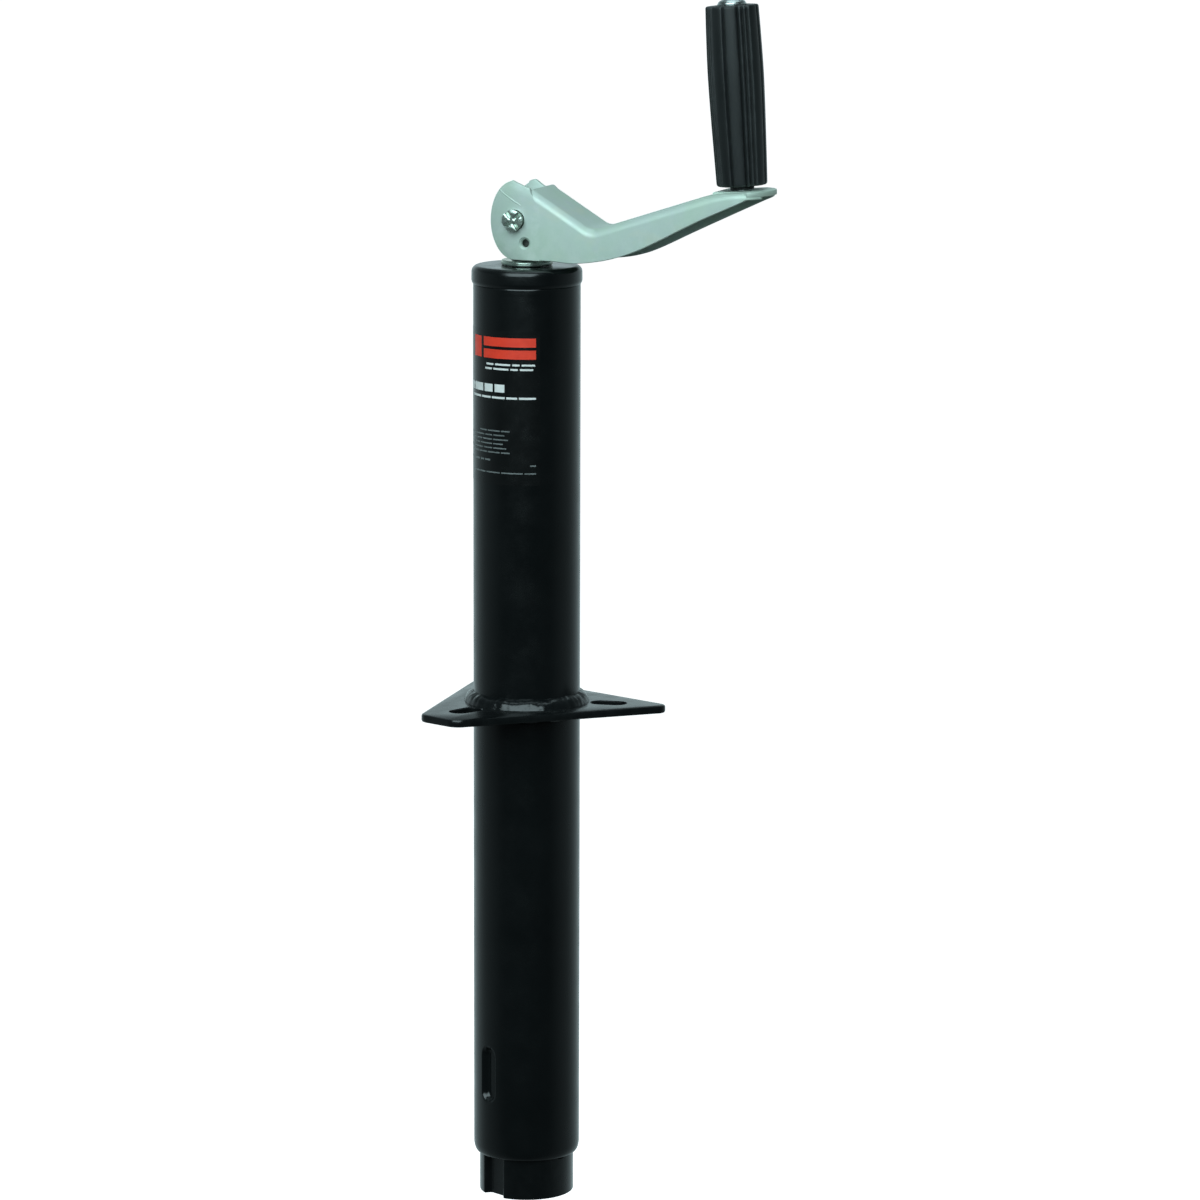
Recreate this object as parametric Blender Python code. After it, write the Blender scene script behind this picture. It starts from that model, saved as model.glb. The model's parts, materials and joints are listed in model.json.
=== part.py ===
"""Trailer tongue jack: a tube with a triangular mounting flange, a folding crank and a screw-driven ram.

Metres, +Z up. The origin is on the tube's axis at the foot of the ram, and the flange's nose points along -Y.
"""

from math import acos, asin, atan2, cos, pi, radians, sin, tan

import bmesh
import bpy
from mathutils import Matrix, Vector

MM = 0.001
INCH = 25.4 * MM
GAP = 0.3 * MM  # clearance between neighbouring pieces
FIT = 0.35 * MM  # clearance round faceted turned pieces
CUT = 20 * MM  # how far a plain cutter reaches each way

# Outer tube and cap
TUBE_R = 2.25 * INCH / 2
TUBE_WALL = 2.4 * MM
CAP_TOP = 505.9 * MM
CAP_R = 29.5 * MM
CAP_THICK = 4.0 * MM
CAP_SKIRT = 10.0 * MM
CAP_SHOULDER = 2.5 * MM
TUBE_BOTTOM = 22.1 * MM
TUBE_NECK = 1.4 * MM  # how far the tube's top end is drawn in, to sit inside the cap's skirt
TUBE_ROLL = 5.5 * MM  # length of the tube's lower end that is rolled inwards

# Ram, 15 inches of travel
RAM_R = 1.0 * INCH
RAM_WALL = 2.9 * MM
RAM_TOP = 471.7 * MM
GROOVE_MOUTH = 7.2 * MM  # half width
GROOVE_FLOOR = 5.6 * MM  # half width
GROOVE_DEPTH = 4.5 * MM
GROOVE_TURN = radians(-4)  # the groove and the dimple that rides in it, round from the flange's nose
FOOT_HOLE_R = 9 / 32 * INCH
FOOT_HOLE_UP = 28.1 * MM
END_PLATE_THICK = 3.0 * MM

# Anti-rotation dimple in the outer tube
DIMPLE_WIDTH = 10.0 * MM
DIMPLE_LENGTH = 30.0 * MM
DIMPLE_Z = 68.7 * MM
DIMPLE_DEPTH = 3.6 * MM
DIMPLE_SLOPE = 2.7 * MM  # its wall's run from the mouth to the floor

# Mounting flange
FLANGE_Z = 267.3 * MM  # its underside
FLANGE_THICK = 4.2 * MM
FLANGE_BASE = 41.0 * MM  # axis to the straight base edge
FLANGE_SIDE = 42.9 * MM  # axis to each long edge
FLANGE_NOSE = 69.5 * MM  # axis to the clipped nose
FLANGE_HALF_ANGLE = radians(27)
FLANGE_BASE_CORNER = 5.0 * MM
FLANGE_NOSE_CORNER = 7.0 * MM
FLANGE_EDGE = 0.8 * MM
SLOT_WIDTH = 11.0 * MM
SLOT_LENGTH = 19.5 * MM
SLOT_CIRCLE = 45.0 * MM
SLOT_TURNS = (-93.0, 30.0, 150.0)  # degrees, each slot's direction from the tube
UPPER_WELD = 6.0 * MM
LOWER_WELD = 4.5 * MM

# Label on the tube
LABEL_BOTTOM = 391.7 * MM
LABEL_TOP = 473.7 * MM
LABEL_FROM = 183.0  # degrees
LABEL_TO = 327.0
LABEL_THICK = 0.3 * MM

# Lead screw, 3/4-6 Acme, left-handed so that a clockwise crank lowers the ram
SCREW_R = 3 / 8 * INCH
LEAD = INCH / 6
THREAD_DEPTH = LEAD / 2
THREAD_FLAT = 0.3707 * LEAD  # crest and root flats of an Acme thread
THREAD_STEPS = 10  # facets in a turn
THREAD_TOP = 463.7 * MM
THREAD_BOTTOM = 53.1 * MM
SCREW_BOTTOM = 40.7 * MM
THREAD_SLACK = 0.36 * MM  # axial clearance on each flank
SHANK_R = 8.0 * MM
HEAD_R = 9.5 * MM
HEAD_HALF = 9.4 * MM  # head above and below the pivot
HEAD_CHAMFER = 1.2 * MM
TAIL_R = SCREW_R - THREAD_DEPTH - 0.4 * MM
COLLAR_R = 17.0 * MM
COLLAR_THICK = 6.0 * MM

# Stop collar on the screw's lower end
STOP_R = 12.5 * MM
STOP_PIN_R = 2.0 * MM

# Thrust bearing
RACE_R = 21.0 * MM
RACE_BORE = 9.0 * MM
RACE_THICK = 2.5 * MM
BALL_R = 3.0 * MM
BALLS = 10
BALL_CIRCLE = 14.6 * MM
CAGE_THICK = 2.6 * MM
CAGE_RIM = 2.0 * MM  # cage outside the balls

# Nut in the ram
NUT_R = 21.9 * MM
NUT_TOP = 459.7 * MM
NUT_LENGTH = 25.0 * MM
NUT_PIN_R = 2.5 * MM
NUT_PINS = (0, 90, 180)  # degrees round the ram
NUT_PIN_IN = 15.0 * MM  # axis to the pins' inner ends
GUIDE_RIM = 6.0 * MM

# Handle, in a frame with its origin on the pivot and +X along the arm
HANDLE_TURN = radians(21.5)
PIVOT_UP = 1.0 * INCH  # above the cap
EAR_WIDTH = 13.6 * MM  # half width of the ear's oval
EAR_HEIGHT = 20.8 * MM  # half height of the ear's oval
EAR_DROP = 0.3 * MM
CHANNEL_HALF = 18.0 * MM
SHEET = 2.8 * MM
SPINDLE_OUT = 120.5 * MM
TAB_Z = 18.8 * MM
TAB_BACK = 7.0 * MM  # tab inwards of the spindle
TAB_RISE = radians(2.5)
LEAN = radians(3.9)
EAR_HOLE_R = 2.2 * MM
EAR_HOLE_SPOT = (5.7 * MM, 0, -12.1 * MM)
PIN_R = 5.2 * MM
PIN_HALF = 22.4 * MM
PIN_CHAMFER = 0.8 * MM
WASHER_R = 13.7 * MM
WASHER_THICK = 2.6 * MM

# Grip
SPINDLE_R = 3 / 16 * INCH
RIVET_R = 7.2 * MM
GRIP_LENGTH = 93.6 * MM
GRIP_GROOVE = 0.9 * MM  # depth of the grooves between the ribs
GRIP_START = -35.5  # degrees round from the arm to the first lobe
GRIP_TOP_R = 13.6 * MM
GRIP_MID_R = 14.5 * MM
GRIP_LOW_R = 13.1 * MM
GRIP_WASHER_R = 6.3 * MM
GRIP_WASHER_THICK = 1.4 * MM
DOME_R = 7.7 * MM
DOME_HIGH = 3.4 * MM

ROUND = 40  # facets in a large turned piece
SMALL = 20  # facets in a small one

PIVOT_Z = CAP_TOP + PIVOT_UP
UPPER_RACE_TOP = CAP_TOP - CAP_THICK - GAP
BALL_Z = UPPER_RACE_TOP - RACE_THICK - GAP - BALL_R
LOWER_RACE_TOP = BALL_Z - BALL_R - GAP
COLLAR_TOP = LOWER_RACE_TOP - RACE_THICK - GAP
STOP_TOP = THREAD_BOTTOM - 0.6 * MM
STOP_PIN_Z = (STOP_TOP + SCREW_BOTTOM) / 2
LYING = (radians(90), 0, 0)  # turns a piece made about Z to lie along Y


def clear_scene():
    for thing in list(bpy.data.objects):
        bpy.data.objects.remove(thing, do_unlink=True)


def material(name, colour, roughness, metallic):
    made = bpy.data.materials.new(name)
    made.use_nodes = True
    shader = made.node_tree.nodes["Principled BSDF"]
    shader.inputs["Base Color"].default_value = (*colour, 1.0)
    shader.inputs["Roughness"].default_value = roughness
    shader.inputs["Metallic"].default_value = metallic
    return made


def put(name, mesh_builder, finish, parent=None, at=(0, 0, 0), turn=(0, 0, 0)):
    """Names a bmesh as an object, shaded smooth where it is round."""
    mesh = bpy.data.meshes.new(name)
    bmesh.ops.recalc_face_normals(mesh_builder, faces=mesh_builder.faces)
    mesh_builder.to_mesh(mesh)
    mesh_builder.free()
    mesh.shade_smooth()
    mesh.set_sharp_from_angle(angle=radians(35))
    made = bpy.data.objects.new(name, mesh)
    bpy.context.scene.collection.objects.link(made)
    if finish:
        mesh.materials.append(finish)
    made.parent = parent
    made.location = at
    made.rotation_euler = turn
    return made


def copy(name, mesh, at, turn=(0, 0, 0)):
    """Another object with the same mesh."""
    made = bpy.data.objects.new(name, mesh)
    bpy.context.scene.collection.objects.link(made)
    made.location = at
    made.rotation_euler = turn
    return made


def cutter(name, mesh_builder, parent=None, at=(0, 0, 0), turn=(0, 0, 0)):
    made = put(name, mesh_builder, None, parent, at, turn)
    made.hide_render = True
    made.display_type = "WIRE"
    return made


def combine(target, tool, how):
    step = target.modifiers.new(tool.name, "BOOLEAN")
    step.operation = how
    step.object = tool
    step.solver = "EXACT"


def empty(name, at, turn, parent=None):
    made = bpy.data.objects.new(name, None)
    bpy.context.scene.collection.objects.link(made)
    made.parent = parent
    made.location = at
    made.rotation_euler = turn
    return made


def lathe(profile, steps, closed=True):
    """A solid turned about Z from (radius, z) points. An open profile starts and ends on the axis."""
    made = bmesh.new()
    rings = []
    for r, z in profile:
        if r < 1e-9:
            rings.append([made.verts.new((0, 0, z))])
            continue
        spots = ((r * cos(2 * pi * i / steps), r * sin(2 * pi * i / steps), z) for i in range(steps))
        rings.append([made.verts.new(spot) for spot in spots])
    pairs = list(zip(rings, rings[1:])) + ([(rings[-1], rings[0])] if closed else [])
    for low, high in pairs:
        for i in range(steps):
            j = (i + 1) % steps
            corners = [low[i % len(low)], low[j % len(low)], high[j % len(high)], high[i % len(high)]]
            made.faces.new(list(dict.fromkeys(corners)))
    return made


def ring(inner, outer, bottom, top, steps):
    return lathe([(inner, bottom), (outer, bottom), (outer, top), (inner, top)], steps)


def rod(radius, half, steps):
    """A plain cylinder about Z, half up and half down."""
    return lathe([(0, -half), (radius, -half), (radius, half), (0, half)], steps, closed=False)


def prism(outline, bottom, top, upper=None):
    """A solid between two heights with a flat outline. upper is the outline at the top, if it is another."""
    made = bmesh.new()
    low = [made.verts.new((x, y, bottom)) for x, y in outline]
    high = [made.verts.new((x, y, top)) for x, y in upper or outline]
    made.faces.new(low)
    made.faces.new(high)
    for i in range(len(outline)):
        j = (i + 1) % len(outline)
        made.faces.new((low[i], low[j], high[j], high[i]))
    return made


def tube_of(outer, inner, bottom, top):
    """A hollow prism between an outer and an inner outline with the same number of points."""
    made = bmesh.new()
    loops = [
        [made.verts.new((x, y, z)) for x, y in outline]
        for outline, z in ((outer, bottom), (outer, top), (inner, top), (inner, bottom))
    ]
    for a, b in zip(loops, loops[1:] + loops[:1]):
        for i in range(len(a)):
            j = (i + 1) % len(a)
            made.faces.new((a[i], a[j], b[j], b[i]))
    return made


def arc(centre, radius, start, end, steps):
    """Points along an arc, angles in radians."""
    return [
        (
            centre[0] + radius * cos(start + (end - start) * i / steps),
            centre[1] + radius * sin(start + (end - start) * i / steps),
        )
        for i in range(steps + 1)
    ]


def stadium(width, length, steps=6):
    """A slot outline along Y with round ends."""
    half = (length - width) / 2
    return arc((0, half), width / 2, 0, pi, steps) + arc((0, -half), width / 2, pi, 2 * pi, steps)


def rounded(corners, radii, steps=3):
    """A convex outline with each corner replaced by an arc of its own radius."""
    points = []
    count = len(corners)
    for i, (corner, radius) in enumerate(zip(corners, radii)):
        here = Vector(corner)
        back = (Vector(corners[i - 1]) - here).normalized()
        on = (Vector(corners[(i + 1) % count]) - here).normalized()
        half = acos(back.dot(on)) / 2
        centre = here + (back + on).normalized() * radius / sin(half)
        first = here + back * radius / tan(half) - centre
        last = here + on * radius / tan(half) - centre
        start = atan2(first.y, first.x)
        sweep = (atan2(last.y, last.x) - start + pi) % (2 * pi) - pi
        points += arc(centre, radius, start, start + sweep, steps)
    return points


# --- housing -----------------------------------------------------------------------------------


def outer_tube(finish):
    inner = TUBE_R - TUBE_WALL
    neck_z = CAP_TOP - CAP_SKIRT - GAP
    top = CAP_TOP - CAP_THICK - GAP
    mouth = RAM_R + 1.3 * FIT
    profile = [
        (inner, top),
        (inner, TUBE_BOTTOM + 0.5 * TUBE_ROLL),
        (mouth, TUBE_BOTTOM + 0.07 * TUBE_ROLL),
        (mouth + 0.3 * MM, TUBE_BOTTOM),
        (mouth + 1.6 * MM, TUBE_BOTTOM + 0.27 * TUBE_ROLL),
        (TUBE_R, TUBE_BOTTOM + TUBE_ROLL),
        (TUBE_R, neck_z),
        (TUBE_R - TUBE_NECK, neck_z),
        (TUBE_R - TUBE_NECK, top),
    ]
    tube = put("outer_tube", lathe(profile, ROUND), finish)
    for name, how, width, wide, outside, floor in (
        ("dimple_swell", "UNION", DIMPLE_WIDTH, 2.6 * MM, -TUBE_WALL / 2, DIMPLE_DEPTH + TUBE_WALL),
        ("dimple_hollow", "DIFFERENCE", DIMPLE_WIDTH - 2 * MM, 2.8 * MM, 0.5 * MM, DIMPLE_DEPTH),
    ):
        length = width + DIMPLE_LENGTH - DIMPLE_WIDTH
        narrow = 2 * DIMPLE_SLOPE - wide
        shape = prism(
            stadium(width + wide, length + wide),
            TUBE_R + outside,
            TUBE_R - floor,
            stadium(width - narrow, length - narrow),
        )
        face_out = (radians(90), 0, GROOVE_TURN)
        combine(tube, cutter(name, shape, at=(0, 0, DIMPLE_Z), turn=face_out), how)


def top_cap(finish):
    hole = SHANK_R + FIT
    skirt = TUBE_R - TUBE_NECK + GAP
    under = CAP_TOP - CAP_THICK
    edge = arc((CAP_R - CAP_SHOULDER, CAP_TOP - CAP_SHOULDER), CAP_SHOULDER, pi / 2, 0, 3)
    profile = [(hole, under), (hole, CAP_TOP), *edge, (CAP_R, CAP_TOP - CAP_SKIRT)]
    profile += [(skirt, CAP_TOP - CAP_SKIRT), (skirt, under)]
    put("top_cap", lathe(profile, ROUND), finish)


def mounting_flange(finish):
    slope, rise = cos(FLANGE_HALF_ANGLE), sin(FLANGE_HALF_ANGLE)
    base_x = (FLANGE_SIDE + rise * FLANGE_BASE) / slope
    nose_x = (FLANGE_SIDE - rise * FLANGE_NOSE) / slope
    corners = [(base_x, FLANGE_BASE), (-base_x, FLANGE_BASE), (-nose_x, -FLANGE_NOSE), (nose_x, -FLANGE_NOSE)]
    outline = rounded(corners, [FLANGE_BASE_CORNER] * 2 + [FLANGE_NOSE_CORNER] * 2)
    plate = put("mounting_flange", prism(outline, 0, FLANGE_THICK), finish, at=(0, 0, FLANGE_Z))
    edge = plate.modifiers.new("edge", "BEVEL")
    edge.width = FLANGE_EDGE
    edge.segments = 1
    edge.limit_method = "ANGLE"
    edge.angle_limit = radians(60)
    bore = cutter("flange_bore", rod(TUBE_R + FIT, CUT, ROUND), at=(0, 0, FLANGE_Z))
    combine(plate, bore, "DIFFERENCE")
    for i, turn in enumerate(SLOT_TURNS):
        angle = radians(turn)
        spot = (SLOT_CIRCLE * cos(angle), SLOT_CIRCLE * sin(angle), FLANGE_Z)
        slot = prism(stadium(SLOT_WIDTH, SLOT_LENGTH), -CUT, CUT)
        combine(plate, cutter(f"slot_{i}", slot, at=spot, turn=(0, 0, angle - pi / 2)), "DIFFERENCE")


def flange_welds(finish):
    """A fillet bead above and below the flange, each with a slightly hollow face."""
    for name, leg, start, way in (
        ("flange_weld_upper", UPPER_WELD, FLANGE_Z + FLANGE_THICK + GAP, 1),
        ("flange_weld_lower", LOWER_WELD, FLANGE_Z - GAP, -1),
    ):
        inner = TUBE_R + FIT
        profile = [
            (inner, start),
            (inner + leg, start),
            (inner + 0.8 * leg, start + way * 0.38 * leg),
            (inner + 0.38 * leg, start + way * 0.8 * leg),
            (inner, start + way * leg),
        ]
        put(name, lathe(profile, ROUND), finish)


def label(finish):
    inner = TUBE_R + FIT
    outer = inner + LABEL_THICK
    steps = 14
    start, end = radians(LABEL_FROM), radians(LABEL_TO)
    outline = arc((0, 0), inner, start, end, steps) + arc((0, 0), outer, end, start, steps)
    put("label", prism(outline, LABEL_BOTTOM, LABEL_TOP), finish)


# --- bearing -----------------------------------------------------------------------------------


def bearing(steel, brass):
    top = UPPER_RACE_TOP
    put("upper_race", ring(RACE_BORE, RACE_R, top - RACE_THICK, top, ROUND), steel)
    top = LOWER_RACE_TOP
    put("lower_race", ring(RACE_BORE, RACE_R, top - RACE_THICK, top, ROUND), steel)
    reach = BALL_R + CAGE_RIM
    low = BALL_Z - CAGE_THICK / 2
    plate = ring(BALL_CIRCLE - reach, BALL_CIRCLE + reach, low, low + CAGE_THICK, ROUND)
    cage = put("ball_cage", plate, brass)
    ball = bmesh.new()
    bmesh.ops.create_icosphere(ball, subdivisions=2, radius=BALL_R)
    pockets = bmesh.new()
    shared = None
    for i in range(BALLS):
        turn = 2 * pi * i / BALLS
        spot = (BALL_CIRCLE * cos(turn), BALL_CIRCLE * sin(turn), BALL_Z)
        pocket_r = BALL_R + FIT
        bmesh.ops.create_cone(pockets, cap_ends=True, segments=12, radius1=pocket_r, radius2=pocket_r,
                              depth=4 * CAGE_THICK, matrix=Matrix.Translation(spot))
        if shared is None:
            shared = put("bearing_ball_1", ball, steel, at=spot).data
        else:
            copy(f"bearing_ball_{i + 1}", shared, spot)
    combine(cage, cutter("ball_pockets", pockets), "DIFFERENCE")


# --- screw -------------------------------------------------------------------------------------


def helix(crest_r, root_r, crest, root, bottom, top):
    """A left-handed threaded rod with flat ends. crest and root are the flats' axial lengths."""
    flank = (LEAD - crest - root) / 2
    levels = [(-crest / 2, crest_r), (crest / 2, crest_r), (crest / 2 + flank, root_r),
              (crest / 2 + flank + root, root_r)]
    made = bmesh.new()
    grid = []
    for turn in range(int(bottom // LEAD) - 2, int(top // LEAD) + 3):
        for offset, r in levels:
            row = []
            for i in range(THREAD_STEPS):
                angle = 2 * pi * i / THREAD_STEPS
                z = turn * LEAD + offset - LEAD * i / THREAD_STEPS
                row.append(made.verts.new((r * cos(angle), r * sin(angle), z)))
            grid.append(row)
    # a row meets the row one lead further on where it has gone once round
    for k in range(len(grid) - len(levels) - 1):
        for i in range(THREAD_STEPS):
            if i + 1 < THREAD_STEPS:
                made.faces.new((grid[k][i], grid[k][i + 1], grid[k + 1][i + 1], grid[k + 1][i]))
            else:
                lower, upper = grid[k + len(levels)], grid[k + len(levels) + 1]
                made.faces.new((lower[i], grid[k][0], grid[k + 1][0], upper[i]))
    for z, side in ((bottom, -1), (top, 1)):
        whole = made.verts[:] + made.edges[:] + made.faces[:]
        bmesh.ops.bisect_plane(made, geom=whole, plane_co=(0, 0, z), plane_no=(0, 0, side), clear_outer=True)
        rim = [e for e in made.edges if e.is_boundary and all(abs(v.co.z - z) < 1e-6 for v in e.verts)]
        bmesh.ops.edgeloop_fill(made, edges=rim)
    return made


def lead_screw(steel):
    """The screw, its thrust collar and the cross-drilled head, in one forged piece."""
    threaded = helix(SCREW_R, SCREW_R - THREAD_DEPTH, THREAD_FLAT, THREAD_FLAT, THREAD_BOTTOM, THREAD_TOP)
    screw = put("lead_screw", threaded, steel)
    head_bottom, head_top = PIVOT_Z - HEAD_HALF, PIVOT_Z + HEAD_HALF
    profile = [
        (0, THREAD_TOP - 2 * MM),
        (SCREW_R - THREAD_DEPTH - 1.4 * MM, THREAD_TOP - 2 * MM),
        (SCREW_R, THREAD_TOP + 1 * MM),
        (SCREW_R, COLLAR_TOP - COLLAR_THICK),
        (COLLAR_R, COLLAR_TOP - COLLAR_THICK),
        (COLLAR_R, COLLAR_TOP),
        (SHANK_R, COLLAR_TOP),
        (SHANK_R, head_bottom - HEAD_CHAMFER),
        (HEAD_R, head_bottom + HEAD_CHAMFER),
        (HEAD_R, head_top - HEAD_CHAMFER),
        (HEAD_R - HEAD_CHAMFER, head_top),
        (0, head_top),
    ]
    shank = lathe(profile, SMALL + 4, closed=False)
    inside = THREAD_BOTTOM + 2 * MM
    tail = lathe([(0, SCREW_BOTTOM), (TAIL_R, SCREW_BOTTOM), (TAIL_R, inside), (0, inside)], 16, closed=False)
    off_step = (0, 0, radians(5))  # keeps the facets' corners off the thread's
    combine(screw, cutter("screw_shank", shank, turn=off_step), "UNION")
    combine(screw, cutter("screw_tail", tail, turn=off_step), "UNION")
    across = (radians(90), 0, HANDLE_TURN)
    hole = cutter("pivot_hole", rod(PIN_R + FIT, CUT, SMALL), at=(0, 0, PIVOT_Z), turn=across)
    combine(screw, hole, "DIFFERENCE")
    hole = cutter("stop_pin_hole", rod(STOP_PIN_R + GAP, CUT, 12), at=(0, 0, STOP_PIN_Z), turn=LYING)
    combine(screw, hole, "DIFFERENCE")


def screw_stop(steel):
    """A collar pinned to the screw's lower end, which the nut meets when the ram is fully out."""
    bottom = SCREW_BOTTOM + 0.6 * MM
    collar = put("stop_collar", ring(TAIL_R + FIT, STOP_R, bottom, STOP_TOP, SMALL + 4), steel)
    hole = cutter("collar_hole", rod(STOP_PIN_R + GAP, CUT, 12), at=(0, 0, STOP_PIN_Z), turn=LYING)
    combine(collar, hole, "DIFFERENCE")
    put("stop_pin", rod(STOP_PIN_R, STOP_R - GAP, 12), steel, at=(0, 0, STOP_PIN_Z), turn=LYING)


# --- ram ---------------------------------------------------------------------------------------


def grooved(radius, mouth, floor, depth, steps=36):
    """A circle with a flat-bottomed groove at -Y."""
    reach = asin(mouth / radius)
    points = arc((0, 0), radius, -pi / 2 + reach, 3 * pi / 2 - reach, steps)
    return points + [(-floor, depth - radius), (floor, depth - radius)]


def ram(paint, bronze, steel, nylon):
    outer = grooved(RAM_R, GROOVE_MOUTH, GROOVE_FLOOR, GROOVE_DEPTH)
    inside = RAM_R - RAM_WALL
    inner = grooved(inside, GROOVE_MOUTH + 1.6 * MM, GROOVE_FLOOR + 1.8 * MM, GROOVE_DEPTH)
    keyway = (0, 0, GROOVE_TURN)
    tube = put("inner_tube", tube_of(outer, inner, 0, RAM_TOP), paint, turn=keyway)
    through = rod(FOOT_HOLE_R, RAM_R + CUT, SMALL)
    hole = cutter("foot_hole", through, at=(0, 0, FOOT_HOLE_UP), turn=(0, radians(90), 0))
    combine(tube, hole, "DIFFERENCE")

    # the nut's and the end plate's outline follows the tube's inside, so the groove keys them
    keyed = grooved(NUT_R, GROOVE_MOUTH + 2.1 * MM, GROOVE_FLOOR + 2.4 * MM, GROOVE_DEPTH + 0.2 * MM, 30)
    nut = put("lead_nut", prism(keyed, NUT_TOP - NUT_LENGTH, NUT_TOP), bronze, turn=keyway)
    put("ram_end_plate", prism(keyed, 0, END_PLATE_THICK), paint, turn=keyway)
    wide = 1.0 / cos(pi / THREAD_STEPS)
    crest_r = (SCREW_R + FIT) * wide
    root_r = (SCREW_R - THREAD_DEPTH + FIT) * wide
    wider, narrower = THREAD_FLAT + 2 * THREAD_SLACK, THREAD_FLAT - 2 * THREAD_SLACK
    tap = helix(crest_r, root_r, wider, narrower, NUT_TOP - NUT_LENGTH - 2 * MM, NUT_TOP + 2 * MM)
    combine(nut, cutter("nut_tap", tap), "DIFFERENCE")

    # pins through the tube's wall into the nut
    pin_out = RAM_R - 0.2 * MM
    half = (pin_out - NUT_PIN_IN) / 2
    middle = (pin_out + NUT_PIN_IN) / 2
    nut_middle = NUT_TOP - NUT_LENGTH / 2
    holes = bmesh.new()
    shared = None
    for i, angle in enumerate(map(radians, NUT_PINS)):
        spot = (middle * cos(angle), middle * sin(angle), nut_middle)
        turn = (0, radians(90), angle)
        if shared is None:
            shared = put("nut_pin_1", rod(NUT_PIN_R, half, 12), steel, at=spot, turn=turn).data
        else:
            copy(f"nut_pin_{i + 1}", shared, spot, turn)
        lie = Matrix.Rotation(angle, 4, "Z") @ Matrix.Rotation(radians(90), 4, "Y")
        hole_r = NUT_PIN_R + FIT
        bmesh.ops.create_cone(holes, cap_ends=True, segments=12, radius1=hole_r, radius2=hole_r,
                              depth=2 * half + 4 * MM, matrix=Matrix.Translation(spot) @ lie)
    drilled = cutter("nut_pin_holes", holes)
    combine(nut, drilled, "DIFFERENCE")
    combine(tube, drilled, "DIFFERENCE")

    # the guide ring sits on the ram's top, with a spigot inside it
    bore = SCREW_R + 2.2 * MM
    rim_bottom = RAM_TOP + GAP
    rim = ring(bore, TUBE_R - TUBE_WALL - FIT, rim_bottom, rim_bottom + GUIDE_RIM, ROUND)
    guide = put("guide_ring", rim, nylon)
    spigot = prism(keyed, NUT_TOP + 2 * MM, rim_bottom + 1 * MM)
    combine(guide, cutter("guide_spigot", spigot, turn=keyway), "UNION")
    combine(guide, cutter("guide_bore", rod(bore, CUT, ROUND), at=(0, 0, RAM_TOP)), "DIFFERENCE")


# --- handle ------------------------------------------------------------------------------------


def web_line():
    """The channel's top surface in side view, from the ears to the tab, with a rounded valley."""
    start = (11.0 * MM, 14.4 * MM)
    valley = (42.0 * MM, -4.6 * MM)
    shoulder = (110.0 * MM, 17.4 * MM)
    tab = (SPINDLE_OUT - 4 * MM, TAB_Z - 0.2 * MM)
    bend = 9.0 * MM
    first = atan2(valley[1] - start[1], valley[0] - start[0])
    second = atan2(shoulder[1] - valley[1], shoulder[0] - valley[0])
    length = bend * tan((second - first) / 2)
    centre = (
        valley[0] - length * cos(first) - bend * sin(first),
        valley[1] - length * sin(first) + bend * cos(first),
    )
    return [start, *arc(centre, bend, first - pi / 2, second - pi / 2, 4), shoulder, tab]


def wall_outline():
    """One side wall in side view: an oval ear, two humps where the web was cut away, and a tapering arm."""
    top = EAR_HEIGHT - EAR_DROP
    ear = [
        (-EAR_WIDTH * sin(t), -EAR_DROP - EAR_HEIGHT * cos(t))
        for t in (pi * i / 12 for i in range(13))
    ]
    humps = [(3.6 * MM, top - 3.4 * MM), (8.4 * MM, top - 3.6 * MM)]
    under = SHEET * 0.55
    along = [(x, z - under) for x, z in web_line()]
    bottom = [
        (128.0 * MM, 12.4 * MM),
        (100.0 * MM, -0.6 * MM),
        (64.0 * MM, -17.6 * MM),
        (49.0 * MM, -20.8 * MM),
        (33.0 * MM, -22.0 * MM),
    ]
    tip = (129.0 * MM, TAB_Z - under)
    return ear + humps + [(11.0 * MM, 14.4 * MM)] + along + [tip] + bottom


def upright(outline, half_from, half_to):
    """A side-view outline given width along Y."""
    made = prism(outline, half_from, half_to)
    bmesh.ops.rotate(made, verts=made.verts, cent=(0, 0, 0), matrix=Matrix.Rotation(radians(90), 3, "X"))
    return made


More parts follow.
